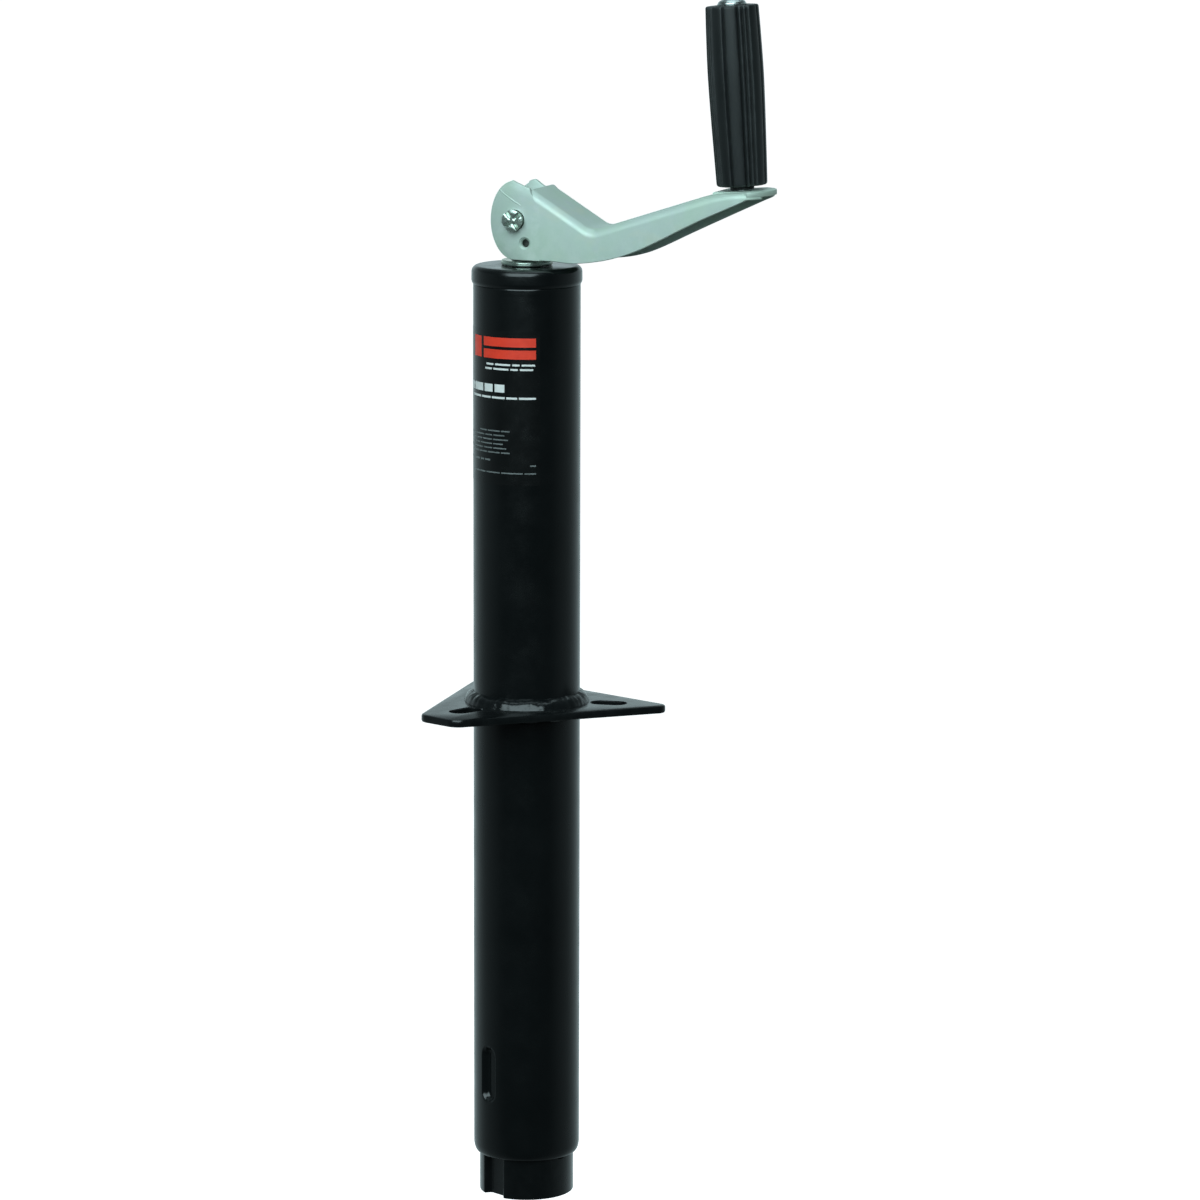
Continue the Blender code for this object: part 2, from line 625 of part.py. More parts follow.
def handle(zinc, steel, plastic, rubber):
    pivot = empty("crank_pivot", (0, 0, PIVOT_Z), (0, 0, HANDLE_TURN))
    line = web_line()
    below = []
    for i, (x, z) in enumerate(line):
        before, after = line[max(i - 1, 0)], line[min(i + 1, len(line) - 1)]
        slope = Vector((after[0] - before[0], after[1] - before[1])).normalized()
        below.append((x + SHEET * slope.y, z - SHEET * slope.x))
    web = upright(line + below[::-1], -CHANNEL_HALF, CHANNEL_HALF)
    channel = put("handle_channel", web, zinc, parent=pivot)
    for side, name in ((1, "far_wall"), (-1, "near_wall")):
        low, high = sorted((side * CHANNEL_HALF, side * (CHANNEL_HALF - SHEET)))
        combine(channel, cutter(name, upright(wall_outline(), low, high), parent=pivot), "UNION")
    planform = arc((0, 0), CHANNEL_HALF, -pi / 2, pi / 2, 12)
    planform = [(-TAB_BACK, -CHANNEL_HALF)] + planform + [(-TAB_BACK, CHANNEL_HALF)]
    tab_at = (SPINDLE_OUT, 0, TAB_Z)
    tab = cutter("tab_plate", prism(planform, -SHEET, 0), parent=pivot, at=tab_at, turn=(0, -TAB_RISE, 0))
    combine(channel, tab, "UNION")

    through = CHANNEL_HALF + CUT
    hole = cutter("ear_holes", rod(PIN_R + FIT, through, SMALL), parent=pivot, turn=LYING)
    combine(channel, hole, "DIFFERENCE")
    small = rod(EAR_HOLE_R, through, 10)
    hole = cutter("ear_small_holes", small, parent=pivot, at=EAR_HOLE_SPOT, turn=LYING)
    combine(channel, hole, "DIFFERENCE")

    nip = PIN_R - PIN_CHAMFER
    end = PIN_HALF - PIN_CHAMFER
    pin = [(0, -PIN_HALF), (nip, -PIN_HALF), (PIN_R, -end), (PIN_R, end), (nip, PIN_HALF), (0, PIN_HALF)]
    put("pivot_pin", lathe(pin, SMALL, closed=False), steel, parent=pivot, turn=LYING)

    spindle = empty("grip_axis", tab_at, (0, -LEAN, 0), pivot)
    hole = cutter("spindle_hole", rod(SPINDLE_R + FIT, 2 * SHEET, 16), parent=spindle)
    combine(channel, hole, "DIFFERENCE")

    # the spindle: a rod riveted under the tab, then the washer, the grip and the push nut above it
    washer_low = 0.4 * MM
    grip_low = washer_low + GRIP_WASHER_THICK + 0.5 * MM
    grip_high = grip_low + GRIP_LENGTH
    stem = [
        (0, -SHEET - 2.2 * MM),
        (RIVET_R * 0.7, -SHEET - 2.0 * MM),
        (RIVET_R, -SHEET - 0.8 * MM),
        (RIVET_R, -SHEET - 0.6 * MM),
        (SPINDLE_R, -SHEET - 0.5 * MM),
        (SPINDLE_R, grip_high + 2.0 * MM),
        (0, grip_high + 2.0 * MM),
    ]
    put("grip_spindle", lathe(stem, SMALL, closed=False), steel, parent=spindle)
    washer = ring(SPINDLE_R + FIT, GRIP_WASHER_R, washer_low, washer_low + GRIP_WASHER_THICK, SMALL)
    put("grip_washer", washer, rubber, parent=spindle)
    nut_low = grip_high + GAP
    under = grip_high + 2.3 * MM
    dome = [(DOME_R * cos(t), nut_low + DOME_HIGH * sin(t)) for t in (pi / 8 * i for i in range(4))]
    bore = SPINDLE_R + FIT
    cover = [(0, under), (bore, under), (bore, nut_low), *dome, (0, nut_low + DOME_HIGH)]
    put("push_nut", lathe(cover, SMALL, closed=False), zinc, parent=spindle)
    put("hand_grip", grip_solid(grip_low, grip_high), plastic, parent=spindle)


def grip_section(radius):
    """The grip's outline: in each quarter two broad lobes and two narrow ribs, with a groove beside each."""
    groove = 1.8  # half width in degrees
    points = []
    start = GRIP_START
    for span in (33.0, 33.0, 12.0, 12.0) * 4:
        crest = [groove, span - groove] if span < 20 else [groove, span / 2, span - groove]
        for degrees, inward in [(0, GRIP_GROOVE)] + [(place, 0) for place in crest]:
            turn = radians(start + degrees)
            points.append(((radius - inward) * cos(turn), (radius - inward) * sin(turn)))
        start += span
    return points


def grip_solid(low, high):
    """Ribbed outside, tapered a little to each end, with a bore for the spindle."""
    length = high - low
    levels = [
        (0.0, GRIP_LOW_R - 0.9 * MM),
        (0.9 * MM, GRIP_LOW_R),
        (0.62 * length, GRIP_MID_R),
        (length - 1.0 * MM, GRIP_TOP_R),
        (length, GRIP_TOP_R - 1.0 * MM),
    ]
    made = bmesh.new()
    loops = [[made.verts.new((x, y, low + up)) for x, y in grip_section(radius)] for up, radius in levels]
    count = len(loops[0])
    bore = SPINDLE_R + FIT
    for z in (high, low):
        loops.append([made.verts.new((bore * cos(turn), bore * sin(turn), z))
                      for turn in (atan2(v.co.y, v.co.x) for v in loops[0])])
    for a, b in zip(loops, loops[1:] + loops[:1]):
        for i in range(count):
            j = (i + 1) % count
            made.faces.new((a[i], a[j], b[j], b[i]))
    return made


def top_washer(zinc):
    bottom = CAP_TOP + GAP
    profile_ring = ring(SHANK_R + FIT, WASHER_R, bottom, bottom + WASHER_THICK, ROUND)
    put("top_washer", profile_ring, zinc)


def main():
    clear_scene()
    paint = material("black paint", (0.012, 0.014, 0.015), 0.22, 0.0)
    zinc = material("zinc plate", (0.42, 0.55, 0.52), 0.34, 1.0)
    steel = material("bright steel", (0.50, 0.50, 0.49), 0.3, 1.0)
    oiled = material("oiled steel", (0.20, 0.20, 0.20), 0.38, 1.0)
    bronze = material("bronze", (0.45, 0.28, 0.12), 0.4, 1.0)
    nylon = material("nylon", (0.75, 0.74, 0.70), 0.5, 0.0)
    plastic = material("black plastic", (0.022, 0.028, 0.028), 0.5, 0.0)
    rubber = material("black washer", (0.015, 0.015, 0.015), 0.6, 0.0)
    sticker = material("label vinyl", (0.75, 0.75, 0.72), 0.35, 0.0)
    outer_tube(paint)
    top_cap(paint)
    mounting_flange(paint)
    flange_welds(paint)
    label(sticker)
    bearing(steel, bronze)
    lead_screw(oiled)
    screw_stop(oiled)
    top_washer(zinc)
    ram(paint, bronze, steel, nylon)
    handle(zinc, steel, plastic, rubber)


main()
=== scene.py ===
"""The looks of the trailer tongue jack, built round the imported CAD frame, in metres with +Z up."""

import json
from math import acos, asin, atan2, ceil, cos, exp, hypot, pi, radians, sin, sqrt, tan

import bmesh
import bpy
from mathutils import Matrix, Vector, noise

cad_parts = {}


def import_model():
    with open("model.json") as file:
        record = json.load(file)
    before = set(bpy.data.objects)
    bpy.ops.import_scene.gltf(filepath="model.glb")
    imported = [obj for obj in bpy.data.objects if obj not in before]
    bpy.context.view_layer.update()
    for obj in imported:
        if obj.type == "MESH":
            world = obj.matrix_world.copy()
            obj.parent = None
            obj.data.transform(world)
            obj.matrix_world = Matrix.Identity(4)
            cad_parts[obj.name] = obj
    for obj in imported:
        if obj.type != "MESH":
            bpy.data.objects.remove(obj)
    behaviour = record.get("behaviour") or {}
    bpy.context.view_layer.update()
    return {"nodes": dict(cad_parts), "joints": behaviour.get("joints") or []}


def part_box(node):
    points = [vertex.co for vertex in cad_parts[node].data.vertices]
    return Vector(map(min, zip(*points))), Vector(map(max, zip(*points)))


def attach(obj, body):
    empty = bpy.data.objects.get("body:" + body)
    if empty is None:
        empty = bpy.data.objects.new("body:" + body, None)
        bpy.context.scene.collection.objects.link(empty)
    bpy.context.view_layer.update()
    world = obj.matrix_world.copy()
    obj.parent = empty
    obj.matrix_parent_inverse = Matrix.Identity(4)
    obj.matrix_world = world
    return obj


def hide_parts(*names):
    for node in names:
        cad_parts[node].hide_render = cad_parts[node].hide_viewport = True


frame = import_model()

MM = 0.001
JOINTS = {joint["name"]: joint for joint in frame["joints"]}

# Sizes of the drawn detail. Everything else comes from the CAD boxes and joints below.
TUBE_WALL = 2.4 * MM
ROLL_IN, ROLL_UP = 2.3 * MM, 6.0 * MM  # the tube's lower end, turned in towards the ram
GROOVE_AT = radians(-94)  # direction of the dimple and of the ram's groove
DIMPLE_Z, DIMPLE_WIDTH, DIMPLE_LENGTH = 68.7 * MM, 10.0 * MM, 30.0 * MM
DIMPLE_DEPTH, DIMPLE_SLOPE = 3.5 * MM, 2.3 * MM
RAM_R, RAM_WALL = 25.4 * MM, 2.9 * MM
GROOVE_MOUTH, GROOVE_FLOOR, GROOVE_DEPTH = 7.2 * MM, 5.6 * MM, 4.5 * MM
FOOT_HOLE_R, FOOT_HOLE_UP = 7.14 * MM, 28.1 * MM
FLANGE_SIDE, FLANGE_HALF_ANGLE = 42.9 * MM, radians(27)
SLOT_WIDTH, SLOT_LENGTH, SLOT_CIRCLE = 11.0 * MM, 19.5 * MM, 45.0 * MM
SLOT_TURNS = (-93, 30, 150)  # degrees
SHANK_R = 8.0 * MM
LEAD = 25.4 / 6 * MM
THREAD_CREST = 9.525 * MM
THREAD_ROOT = THREAD_CREST - LEAD / 2
THREAD_FLAT = 0.3707 * LEAD
SHEET = 2.8 * MM  # the handle's steel
CHANNEL_HALF = 18.0 * MM  # half the handle's width
BEND, TIP_BEND = 5.0 * MM, 3.3 * MM  # outside radius of the handle's long bends, on the arm and near its tip
HOLE_CLEAR = 0.35 * MM
PIN_R, PIN_LENGTH = 5.2 * MM, 44.8 * MM
SPINDLE_R = 4.7625 * MM
GRIP_LOW, GRIP_LENGTH = 2.3 * MM, 93.6 * MM  # along the spindle, from the tab's face
LEAN_TAB = radians(2.5)

CAMERA_AZIMUTH = radians(-47)
CAMERA_OUT, CAMERA_HEIGHT = 2.843, 0.8259
CAMERA_LENS, CAMERA_SENSOR = 161.7, 36  # mm
CAMERA_YAW, CAMERA_PITCH, CAMERA_ROLL = radians(0.79), radians(-9.98), radians(0.16)
FLOOR_Z, FLOOR_R = -0.40, 30
LIGHTS_FACE = Vector((0, 0, 0.35))
COOL = (0.78, 1.0, 1.04)  # tint of the studio light

LYING = Matrix.Rotation(pi / 2, 4, "X")  # turns Z onto -Y
TO_GROOVE = Matrix.Rotation(GROOVE_AT + pi / 2, 4, "Z")  # turns -Y onto the groove's direction


# --- meshes -------------------------------------------------------------------


def arc(centre, radius, start, end, steps):
    """Points along an arc, angles in radians."""
    turns = [start + (end - start) * i / steps for i in range(steps + 1)]
    return [(centre[0] + radius * cos(t), centre[1] + radius * sin(t)) for t in turns]


def rounded(corners, radii, steps=6, closed=True):
    """An outline with each corner replaced by an arc of its own radius. A radius of 0 keeps the corner."""
    points = []
    for i, (corner, radius) in enumerate(zip(corners, radii)):
        if radius == 0 or (not closed and i in (0, len(corners) - 1)):
            points.append(tuple(corner))
            continue
        here = Vector(corner)
        back = (Vector(corners[i - 1]) - here).normalized()
        on = (Vector(corners[(i + 1) % len(corners)]) - here).normalized()
        half = acos(max(-1.0, min(1.0, back.dot(on)))) / 2
        centre = here + (back + on).normalized() * radius / sin(half)
        first = here + back * radius / tan(half) - centre
        last = here + on * radius / tan(half) - centre
        start = atan2(first.y, first.x)
        sweep = (atan2(last.y, last.x) - start + pi) % (2 * pi) - pi
        points += arc(centre, radius, start, start + sweep, steps)
    return points


def inset(outline, distance):
    """A counter-clockwise outline moved towards its inside."""
    moved = []
    count = len(outline)
    for i, (x, y) in enumerate(outline):
        before, after = outline[i - 1], outline[(i + 1) % count]
        run = Vector((after[0] - before[0], after[1] - before[1])).normalized()
        moved.append((x - run.y * distance, y + run.x * distance))
    return moved


def loft(loops, closed_path=False):
    """A skin through loops of points with equal counts."""
    made = bmesh.new()
    rows = [[made.verts.new(point) for point in loop] for loop in loops]
    pairs = list(zip(rows, rows[1:])) + ([(rows[-1], rows[0])] if closed_path else [])
    count = len(rows[0])
    for low, high in pairs:
        for i in range(count):
            j = (i + 1) % count
            made.faces.new((low[i], low[j], high[j], high[i]))
    if not closed_path:
        made.faces.new(rows[0][::-1])
        made.faces.new(rows[-1])
    return made


def ring(radius, z, steps):
    """Points round the Z axis."""
    turns = [2 * pi * i / steps for i in range(steps)]
    return [(radius * cos(turn), radius * sin(turn), z) for turn in turns]


def skin(built, rings, steps, closed=False):
    """Faces between neighbouring rings of vertices. A ring may be one vertex on the axis."""
    pairs = list(zip(rings, rings[1:])) + ([(rings[-1], rings[0])] if closed else [])
    for low, high in pairs:
        for i in range(steps):
            j = (i + 1) % steps
            corners = [low[i % len(low)], low[j % len(low)], high[j % len(high)], high[i % len(high)]]
            built.faces.new(list(dict.fromkeys(corners)))


def lathe(profile, steps, closed=True):
    """Turned about Z from (radius, z) points."""
    made = bmesh.new()
    rings = []
    for radius, z in profile:
        points = ring(radius, z, steps) if radius else [(0, 0, z)]
        rings.append([made.verts.new(point) for point in points])
    skin(made, rings, steps, closed)
    return made


def prism(outline, bottom, top, edge, edged=None):
    """A plate between two heights. edge rounds its rims, on the points for which edged is true."""
    keep = edged or [True] * len(outline)
    shares = (0, 0.5, 1)
    sides = [(bottom, 1, share) for share in shares] + [(top, -1, share) for share in reversed(shares)]
    rows = []
    for level, way, share in sides:
        moved = inset(outline, edge * (1 - sin(share * pi / 2)))
        z = level + way * edge * (1 - cos(share * pi / 2))
        rows.append([(*(moved[i] if keep[i] else outline[i]), z) for i in range(len(outline))])
    return loft(rows)


def stadium(width, length):
    half, steps = (length - width) / 2, 14
    return arc((0, half), width / 2, 0, pi, steps) + arc((0, -half), width / 2, pi, 2 * pi, steps)


def rod(radius, half, steps=64):
    return lathe([(0, -half), (radius, -half), (radius, half), (0, half)], steps, closed=False)


def piece(name, built, material, body=None, stands_for=(), place=None, sharp=32):
    """Names a bmesh as an object that rides on a body and stands for its CAD nodes."""
    mesh = bpy.data.meshes.new(name)
    bmesh.ops.recalc_face_normals(built, faces=built.faces)
    built.to_mesh(mesh)
    built.free()
    mesh.shade_smooth()
    mesh.set_sharp_from_angle(angle=radians(sharp))
    made = bpy.data.objects.new(name, mesh)
    bpy.context.scene.collection.objects.link(made)
    if material:
        mesh.materials.append(material)
    if place:
        made.matrix_world = place
    if body:
        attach(made, body)
    if stands_for:
        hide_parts(*stands_for)
    return made


def shape_with(target, tools, how="DIFFERENCE", sharp=32):
    """Cuts tools, given as (bmesh, place), from a piece or joins them to it, and keeps the result."""
    helpers = []
    for built, place in tools:
        helper = piece(f"{target.name}_tool", built, None, place=place)
        step = target.modifiers.new("shape", "BOOLEAN")
        step.operation = how
        step.object = helper
        step.solver = "EXACT"
        helpers.append(helper)
    bpy.context.view_layer.update()
    graph = bpy.context.evaluated_depsgraph_get()
    mesh = bpy.data.meshes.new_from_object(target.evaluated_get(graph), depsgraph=graph)
    target.modifiers.clear()
    target.data = mesh
    mesh.shade_smooth()
    mesh.set_sharp_from_angle(angle=radians(sharp))
    for helper in helpers:
        bpy.data.objects.remove(helper, do_unlink=True)


def quarter(steps):
    """Angles from 0 to a right angle, for rounded rims."""
    return [pi / 2 * i / steps for i in range(steps + 1)]


def off_groove(turn):
    """An angle's distance from the groove's direction, signed."""
    return (turn - GROOVE_AT + pi) % (2 * pi) - pi


def smooth_step(x):
    x = max(0.0, min(1.0, x))
    return x * x * (3 - 2 * x)


def through(points):
    """A smooth curve through (x, y) points, as a function of x."""
    xs, ys = zip(*points)
    slopes = [0.0] * len(xs)
    for i in range(len(xs)):
        a, b = max(i - 1, 0), min(i + 1, len(xs) - 1)
        slopes[i] = (ys[b] - ys[a]) / (xs[b] - xs[a])

    def at(x):
        i = max(0, min(len(xs) - 2, sum(1 for known in xs if known <= x) - 1))
        wide = xs[i + 1] - xs[i]
        t = max(0.0, min(1.0, (x - xs[i]) / wide))
        a, b = (1 + 2 * t) * (1 - t) ** 2, t * (1 - t) ** 2
        c, d = t * t * (3 - 2 * t), t * t * (t - 1)
        return a * ys[i] + b * wide * slopes[i] + c * ys[i + 1] + d * wide * slopes[i + 1]

    return at


# --- materials ----------------------------------------------------------------


class Look:
    """A node material under construction, in object coordinates."""

    def __init__(self, name, roughness=0.4, metallic=0.0, specular=0.5):
        self.material = bpy.data.materials.new(name)
        self.material.use_nodes = True
        self.tree = self.material.node_tree
        self.shader = self.tree.nodes["Principled BSDF"]
        self.shader.inputs["Roughness"].default_value = roughness
        self.shader.inputs["Metallic"].default_value = metallic
        self.shader.inputs["Specular IOR Level"].default_value = specular
        self.place = self.tree.nodes.new("ShaderNodeTexCoord").outputs["Object"]

    def node(self, kind, **values):
        made = self.tree.nodes.new(kind)
        for name, value in values.items():
            self.feed(made.inputs[name.replace("_", " ")], value)
        return made

    def feed(self, socket, value):
        if isinstance(value, bpy.types.NodeSocket):
            self.tree.links.new(value, socket)
        else:
            socket.default_value = value

    def stretched(self, x, y, z):
        return self.node("ShaderNodeMapping", Vector=self.place, Scale=(x, y, z)).outputs["Vector"]

    def noise(self, size, detail=4.0, rough=0.55, place=None):
        """Noise whose blotches are about size across."""
        made = self.node("ShaderNodeTexNoise", Vector=place or self.place, Scale=1 / size)
        made.inputs["Detail"].default_value = detail
        made.inputs["Roughness"].default_value = rough
        return made.outputs["Fac"]

    def spread(self, value, low, high, to_low=0.0, to_high=1.0):
        made = self.node("ShaderNodeMapRange", Value=value)
        for name, number in (("From Min", low), ("From Max", high), ("To Min", to_low), ("To Max", to_high)):
            made.inputs[name].default_value = number
        return made.outputs["Result"]

    def uneven(self, value, least=0.0, most=1.0):
        """Noise, which mostly lies between 0.3 and 0.7, spread over a range."""
        return self.spread(value, 0.3, 0.7, least, most)

    def maths(self, how, a, b=0.0):
        made = self.tree.nodes.new("ShaderNodeMath")
        made.operation = how
        self.feed(made.inputs[0], a)
        self.feed(made.inputs[1], b)
        return made.outputs[0]

    def mix(self, share, a, b):
        made = self.tree.nodes.new("ShaderNodeMix")
        made.data_type = "RGBA"
        factor, colour_a, colour_b, mixed = 0, 6, 7, 2  # the sockets that mix colours
        self.feed(made.inputs[factor], share)
        self.feed(made.inputs[colour_a], (*a, 1) if isinstance(a, tuple) else a)
        self.feed(made.inputs[colour_b], (*b, 1) if isinstance(b, tuple) else b)
        return made.outputs[mixed]

    def bump(self, height, depth, strength=1.0, under=None):
        made = self.node("ShaderNodeBump", Height=height, Distance=depth, Strength=strength)
        if under:
            self.feed(made.inputs["Normal"], under)
        return made.outputs["Normal"]

    def worn_edge(self, low, high, share):
        """share on outside edges and 0 elsewhere, broken up by noise. low and high bound the pointiness."""
        sharp = self.tree.nodes.new("ShaderNodeNewGeometry").outputs["Pointiness"]
        broken = self.spread(self.noise(6 * MM, 5), 0.42, 0.62)
        worn = self.maths("MULTIPLY", self.spread(sharp, low, high), broken)
        return self.maths("MULTIPLY", worn, share)

    def done(self, colour, roughness=None, normal=None):
        for name, value in (("Base Color", colour), ("Roughness", roughness), ("Normal", normal)):
            if value is not None:
                self.feed(self.shader.inputs[name], value)
        return self.material


def enamel():
    """Semi-gloss black enamel: orange peel, soft cloudiness and a little dust."""
    look = Look("black enamel")
    colour = look.mix(look.uneven(look.noise(35 * MM, 5)), PAINT, (0.0042, 0.0054, 0.0058))
    dust = look.maths("MULTIPLY", look.spread(look.noise(0.9 * MM, 6, 0.7), 0.60, 0.78), 0.10)
    colour = look.mix(dust, colour, (0.035, 0.04, 0.04))
    colour = look.mix(look.worn_edge(0.52, 0.60, 0.35), colour, (0.03, 0.032, 0.032))
    rough = look.uneven(look.noise(14 * MM, 7, 0.6), 0.17, 0.29)
    peel = look.bump(look.noise(1.5 * MM, 2), 0.05 * MM, 0.35)
    return look.done(colour, rough, look.bump(look.noise(9 * MM, 2), 0.12 * MM, 0.3, peel))


def weld_enamel():
    """The same paint over weld metal, with spatter."""
    look = Look("enamel on weld")
    colour = look.mix(look.noise(5 * MM), PAINT, (0.006, 0.0075, 0.008))
    rough = look.uneven(look.noise(3 * MM, 6), 0.15, 0.26)
    spatter = look.spread(look.noise(1.4 * MM, 3), 0.58, 0.75)
    lumps = look.bump(look.noise(5 * MM, 2), 0.2 * MM, 0.4)
    return look.done(colour, rough, look.bump(spatter, 0.12 * MM, 0.35, lumps))


def zinc(name, metallic, rough_low, rough_high):
    """Clear zinc plate with a blue-green cast, faint iridescence and the grain of rolled sheet."""
    look = Look(name, metallic=metallic)
    look.shader.inputs["Specular Tint"].default_value = (1, 0.90, 0.87, 1)
    green, blue, warm, violet = (0.53, 0.66, 0.56), (0.55, 0.65, 0.60), (0.64, 0.68, 0.55), (0.58, 0.62, 0.67)
    dark, worn = (0.32, 0.40, 0.37), (0.86, 0.90, 0.87)
    colour = look.mix(look.spread(look.noise(26 * MM, 3), 0.38, 0.62), green, blue)
    blush = look.spread(look.noise(17 * MM, 3, 0.5, look.stretched(1, 1, 1.7)), 0.55, 0.72, 0, 0.4)
    colour = look.mix(blush, colour, warm)
    sheen = look.spread(look.noise(13 * MM, 2, 0.5, look.stretched(1.3, 1, 1)), 0.60, 0.75, 0, 0.3)
    colour = look.mix(sheen, colour, violet)
    crystals = look.node("ShaderNodeTexVoronoi", Vector=look.place, Scale=1 / (0.5 * MM)).outputs["Distance"]
    colour = look.mix(look.maths("MULTIPLY", crystals, 0.10), colour, dark)
    # Lighter colour on bends and edges: partly wear, partly a painted highlight along the crank's bends
    colour = look.mix(look.worn_edge(0.51, 0.57, 0.2), colour, worn)
    rough = look.uneven(look.noise(7 * MM, 6, 0.6), rough_low, rough_high)
    grain = look.noise(0.35 * MM, 3, 0.6, look.stretched(0.15, 1, 1))
    normal = look.bump(grain, 0.02 * MM, 0.5, look.bump(look.noise(11 * MM, 2), 0.15 * MM, 0.35))
    return look.done(colour, rough, normal)


def steel(name, light, dark, rough_low, rough_high, streak=(1, 1, 1)):
    """Bare or oiled steel, with turning marks across the stretched direction."""
    look = Look(name, metallic=1.0)
    place = look.stretched(*streak)
    colour = look.mix(look.uneven(look.noise(5 * MM, 5, 0.6, place)), light, dark)
    stain = look.spread(look.noise(2 * MM, 6, 0.7), 0.62, 0.8, 0, 0.5)
    colour = look.mix(stain, colour, (0.10, 0.07, 0.05))
    rough = look.uneven(look.noise(3 * MM, 5), rough_low, rough_high)
    return look.done(colour, rough, look.bump(look.noise(0.25 * MM, 3, 0.6, place), 0.015 * MM, 0.6))


def moulded():
    """Satin black moulded plastic, with fine texture, flow marks and rubbed crests."""
    look = Look("grip plastic", specular=0.38)
    flow = look.noise(9 * MM, 4, 0.55, look.stretched(1, 1, 0.12))
    colour = look.mix(look.uneven(flow), (0.0075, 0.0092, 0.0095), (0.015, 0.0175, 0.018))
    colour = look.mix(look.worn_edge(0.505, 0.54, 0.5), colour, (0.06, 0.068, 0.068))
    rough = look.uneven(look.noise(6 * MM, 6, 0.6, look.stretched(1, 1, 0.25)), 0.34, 0.50)
    fine = look.bump(look.noise(0.4 * MM, 3), 0.025 * MM, 0.5)
    return look.done(colour, rough, look.bump(flow, 0.15 * MM, 0.4, fine))


def mottled(name, light, dark, rough, grain, depth, metallic=0.0):
    """A plain stuff with mottled colour, uneven gloss and a fine grain."""
    look = Look(name, metallic=metallic)
    colour = look.mix(look.uneven(look.noise(8 * grain, 5)), light, dark)
    gloss = look.uneven(look.noise(5 * grain, 5), *rough)
    return look.done(colour, gloss, look.bump(look.noise(grain, 4), depth, 0.6))


PAINT = (0.0024, 0.0034, 0.0037)
ENAMEL = enamel()
WELD = weld_enamel()
ZINC = zinc("zinc plate", 0.35, 0.47, 0.59)
BRIGHT_ZINC = zinc("bright zinc plate", 0.85, 0.20, 0.32)
BRIGHT = steel("bright steel", (0.62, 0.66, 0.65), (0.40, 0.45, 0.44), 0.20, 0.38)
OILED = steel("oiled steel", (0.26, 0.27, 0.26), (0.13, 0.13, 0.12), 0.26, 0.46, (1, 1, 6))
PLASTIC = moulded()
BRONZE, NYLON, RUBBER, VINYL, RED_INK, WHITE_INK, GREY_INK = (mottled(*stuff) for stuff in (
    ("bronze", (0.50, 0.31, 0.13), (0.36, 0.21, 0.08), (0.25, 0.45), 0.6 * MM, 0.03 * MM, 1.0),
    ("nylon", (0.78, 0.77, 0.72), (0.66, 0.65, 0.60), (0.40, 0.58), 0.8 * MM, 0.03 * MM),
    ("black washer", (0.010, 0.011, 0.011), (0.022, 0.023, 0.023), (0.45, 0.7), 0.4 * MM, 0.04 * MM),
    ("label film", (0.0028, 0.0034, 0.0036), (0.0050, 0.0058, 0.006), (0.20, 0.29), 1.2 * MM, 0.010 * MM),
    ("red ink", (0.95, 0.060, 0.026), (0.82, 0.045, 0.020), (0.35, 0.5), 0.6 * MM, 0.01 * MM),
    ("white ink", (0.90, 0.90, 0.88), (0.74, 0.74, 0.72), (0.35, 0.5), 0.5 * MM, 0.01 * MM),
    ("grey ink", (0.20, 0.215, 0.215), (0.12, 0.13, 0.13), (0.4, 0.55), 0.4 * MM, 0.01 * MM),
))


# --- tube, cap, flange --------------------------------------------------------


def outer_tube():
    """The painted tube: an end turned in over the ram, a pressed dimple and a bead below the cap."""
    low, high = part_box("outer_tube")
    radius, bottom, top = high.x, low.z, high.z
    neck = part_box("top_cap")[0].z
    inner, mouth = radius - TUBE_WALL, radius - ROLL_IN
    neck_in, soft = 1.4 * MM, 0.4 * MM
    bead_high, bead_half, bead_down = 0.03 * MM, 0.9 * MM, 2.6 * MM
    rows = 26  # of the dense grid on each side of the dimple's middle

    def pressed(turn, z):
        across = radius * off_groove(turn)
        along = max(abs(z - DIMPLE_Z) - (DIMPLE_LENGTH - DIMPLE_WIDTH) / 2, 0)
        inward = DIMPLE_WIDTH / 2 + 0.4 * MM - hypot(across, along)
        return DIMPLE_DEPTH * smooth_step(inward / DIMPLE_SLOPE)

    dense = [DIMPLE_Z + i * 0.75 * MM for i in range(-rows, rows + 1)]
    outside = [(radius - ROLL_IN * (1 - cos(t)), bottom + ROLL_UP * (1 - sin(t))) for t in quarter(12)[:0:-1]]
    outside += [(radius, bottom + ROLL_UP + 3 * MM)] + [(radius, z) for z in dense]
    outside += [(radius, DIMPLE_Z + i * 30 * MM) for i in range(2, 13)]
    for z in (neck - 6 * MM + i * 0.4 * MM for i in range(14)):
        outside.append((radius + bead_high * exp(-((z - neck + bead_down) / bead_half) ** 2), z))
    outside += [(radius, neck - soft), (radius - 0.3 * MM, neck), (radius - neck_in, neck)]
    outside += [(radius - neck_in, top - soft), (radius - neck_in - soft, top)]
    inside = [(inner + 0.3 * MM, top), (inner, top - 0.5 * MM)] + [(inner, z) for z in reversed(dense)]
    inside += [(inner, bottom + ROLL_UP), (mouth - soft, bottom + 2 * MM), (mouth - soft, bottom + 0.3 * MM)]

    angles = [2 * pi * i / 120 for i in range(120)]
    angles = [t for t in angles if abs(off_groove(t)) > radians(16)]
    angles += [(GROOVE_AT + radians(0.6 * i)) % (2 * pi) for i in range(-rows, rows + 1)]
    angles.sort()
    loops = []
    for r, z in outside + inside:
        loops.append([((r - pressed(t, z)) * cos(t), (r - pressed(t, z)) * sin(t), z) for t in angles])
    piece("tube", loft(loops, closed_path=True), ENAMEL, "housing", ["outer_tube"], sharp=40)


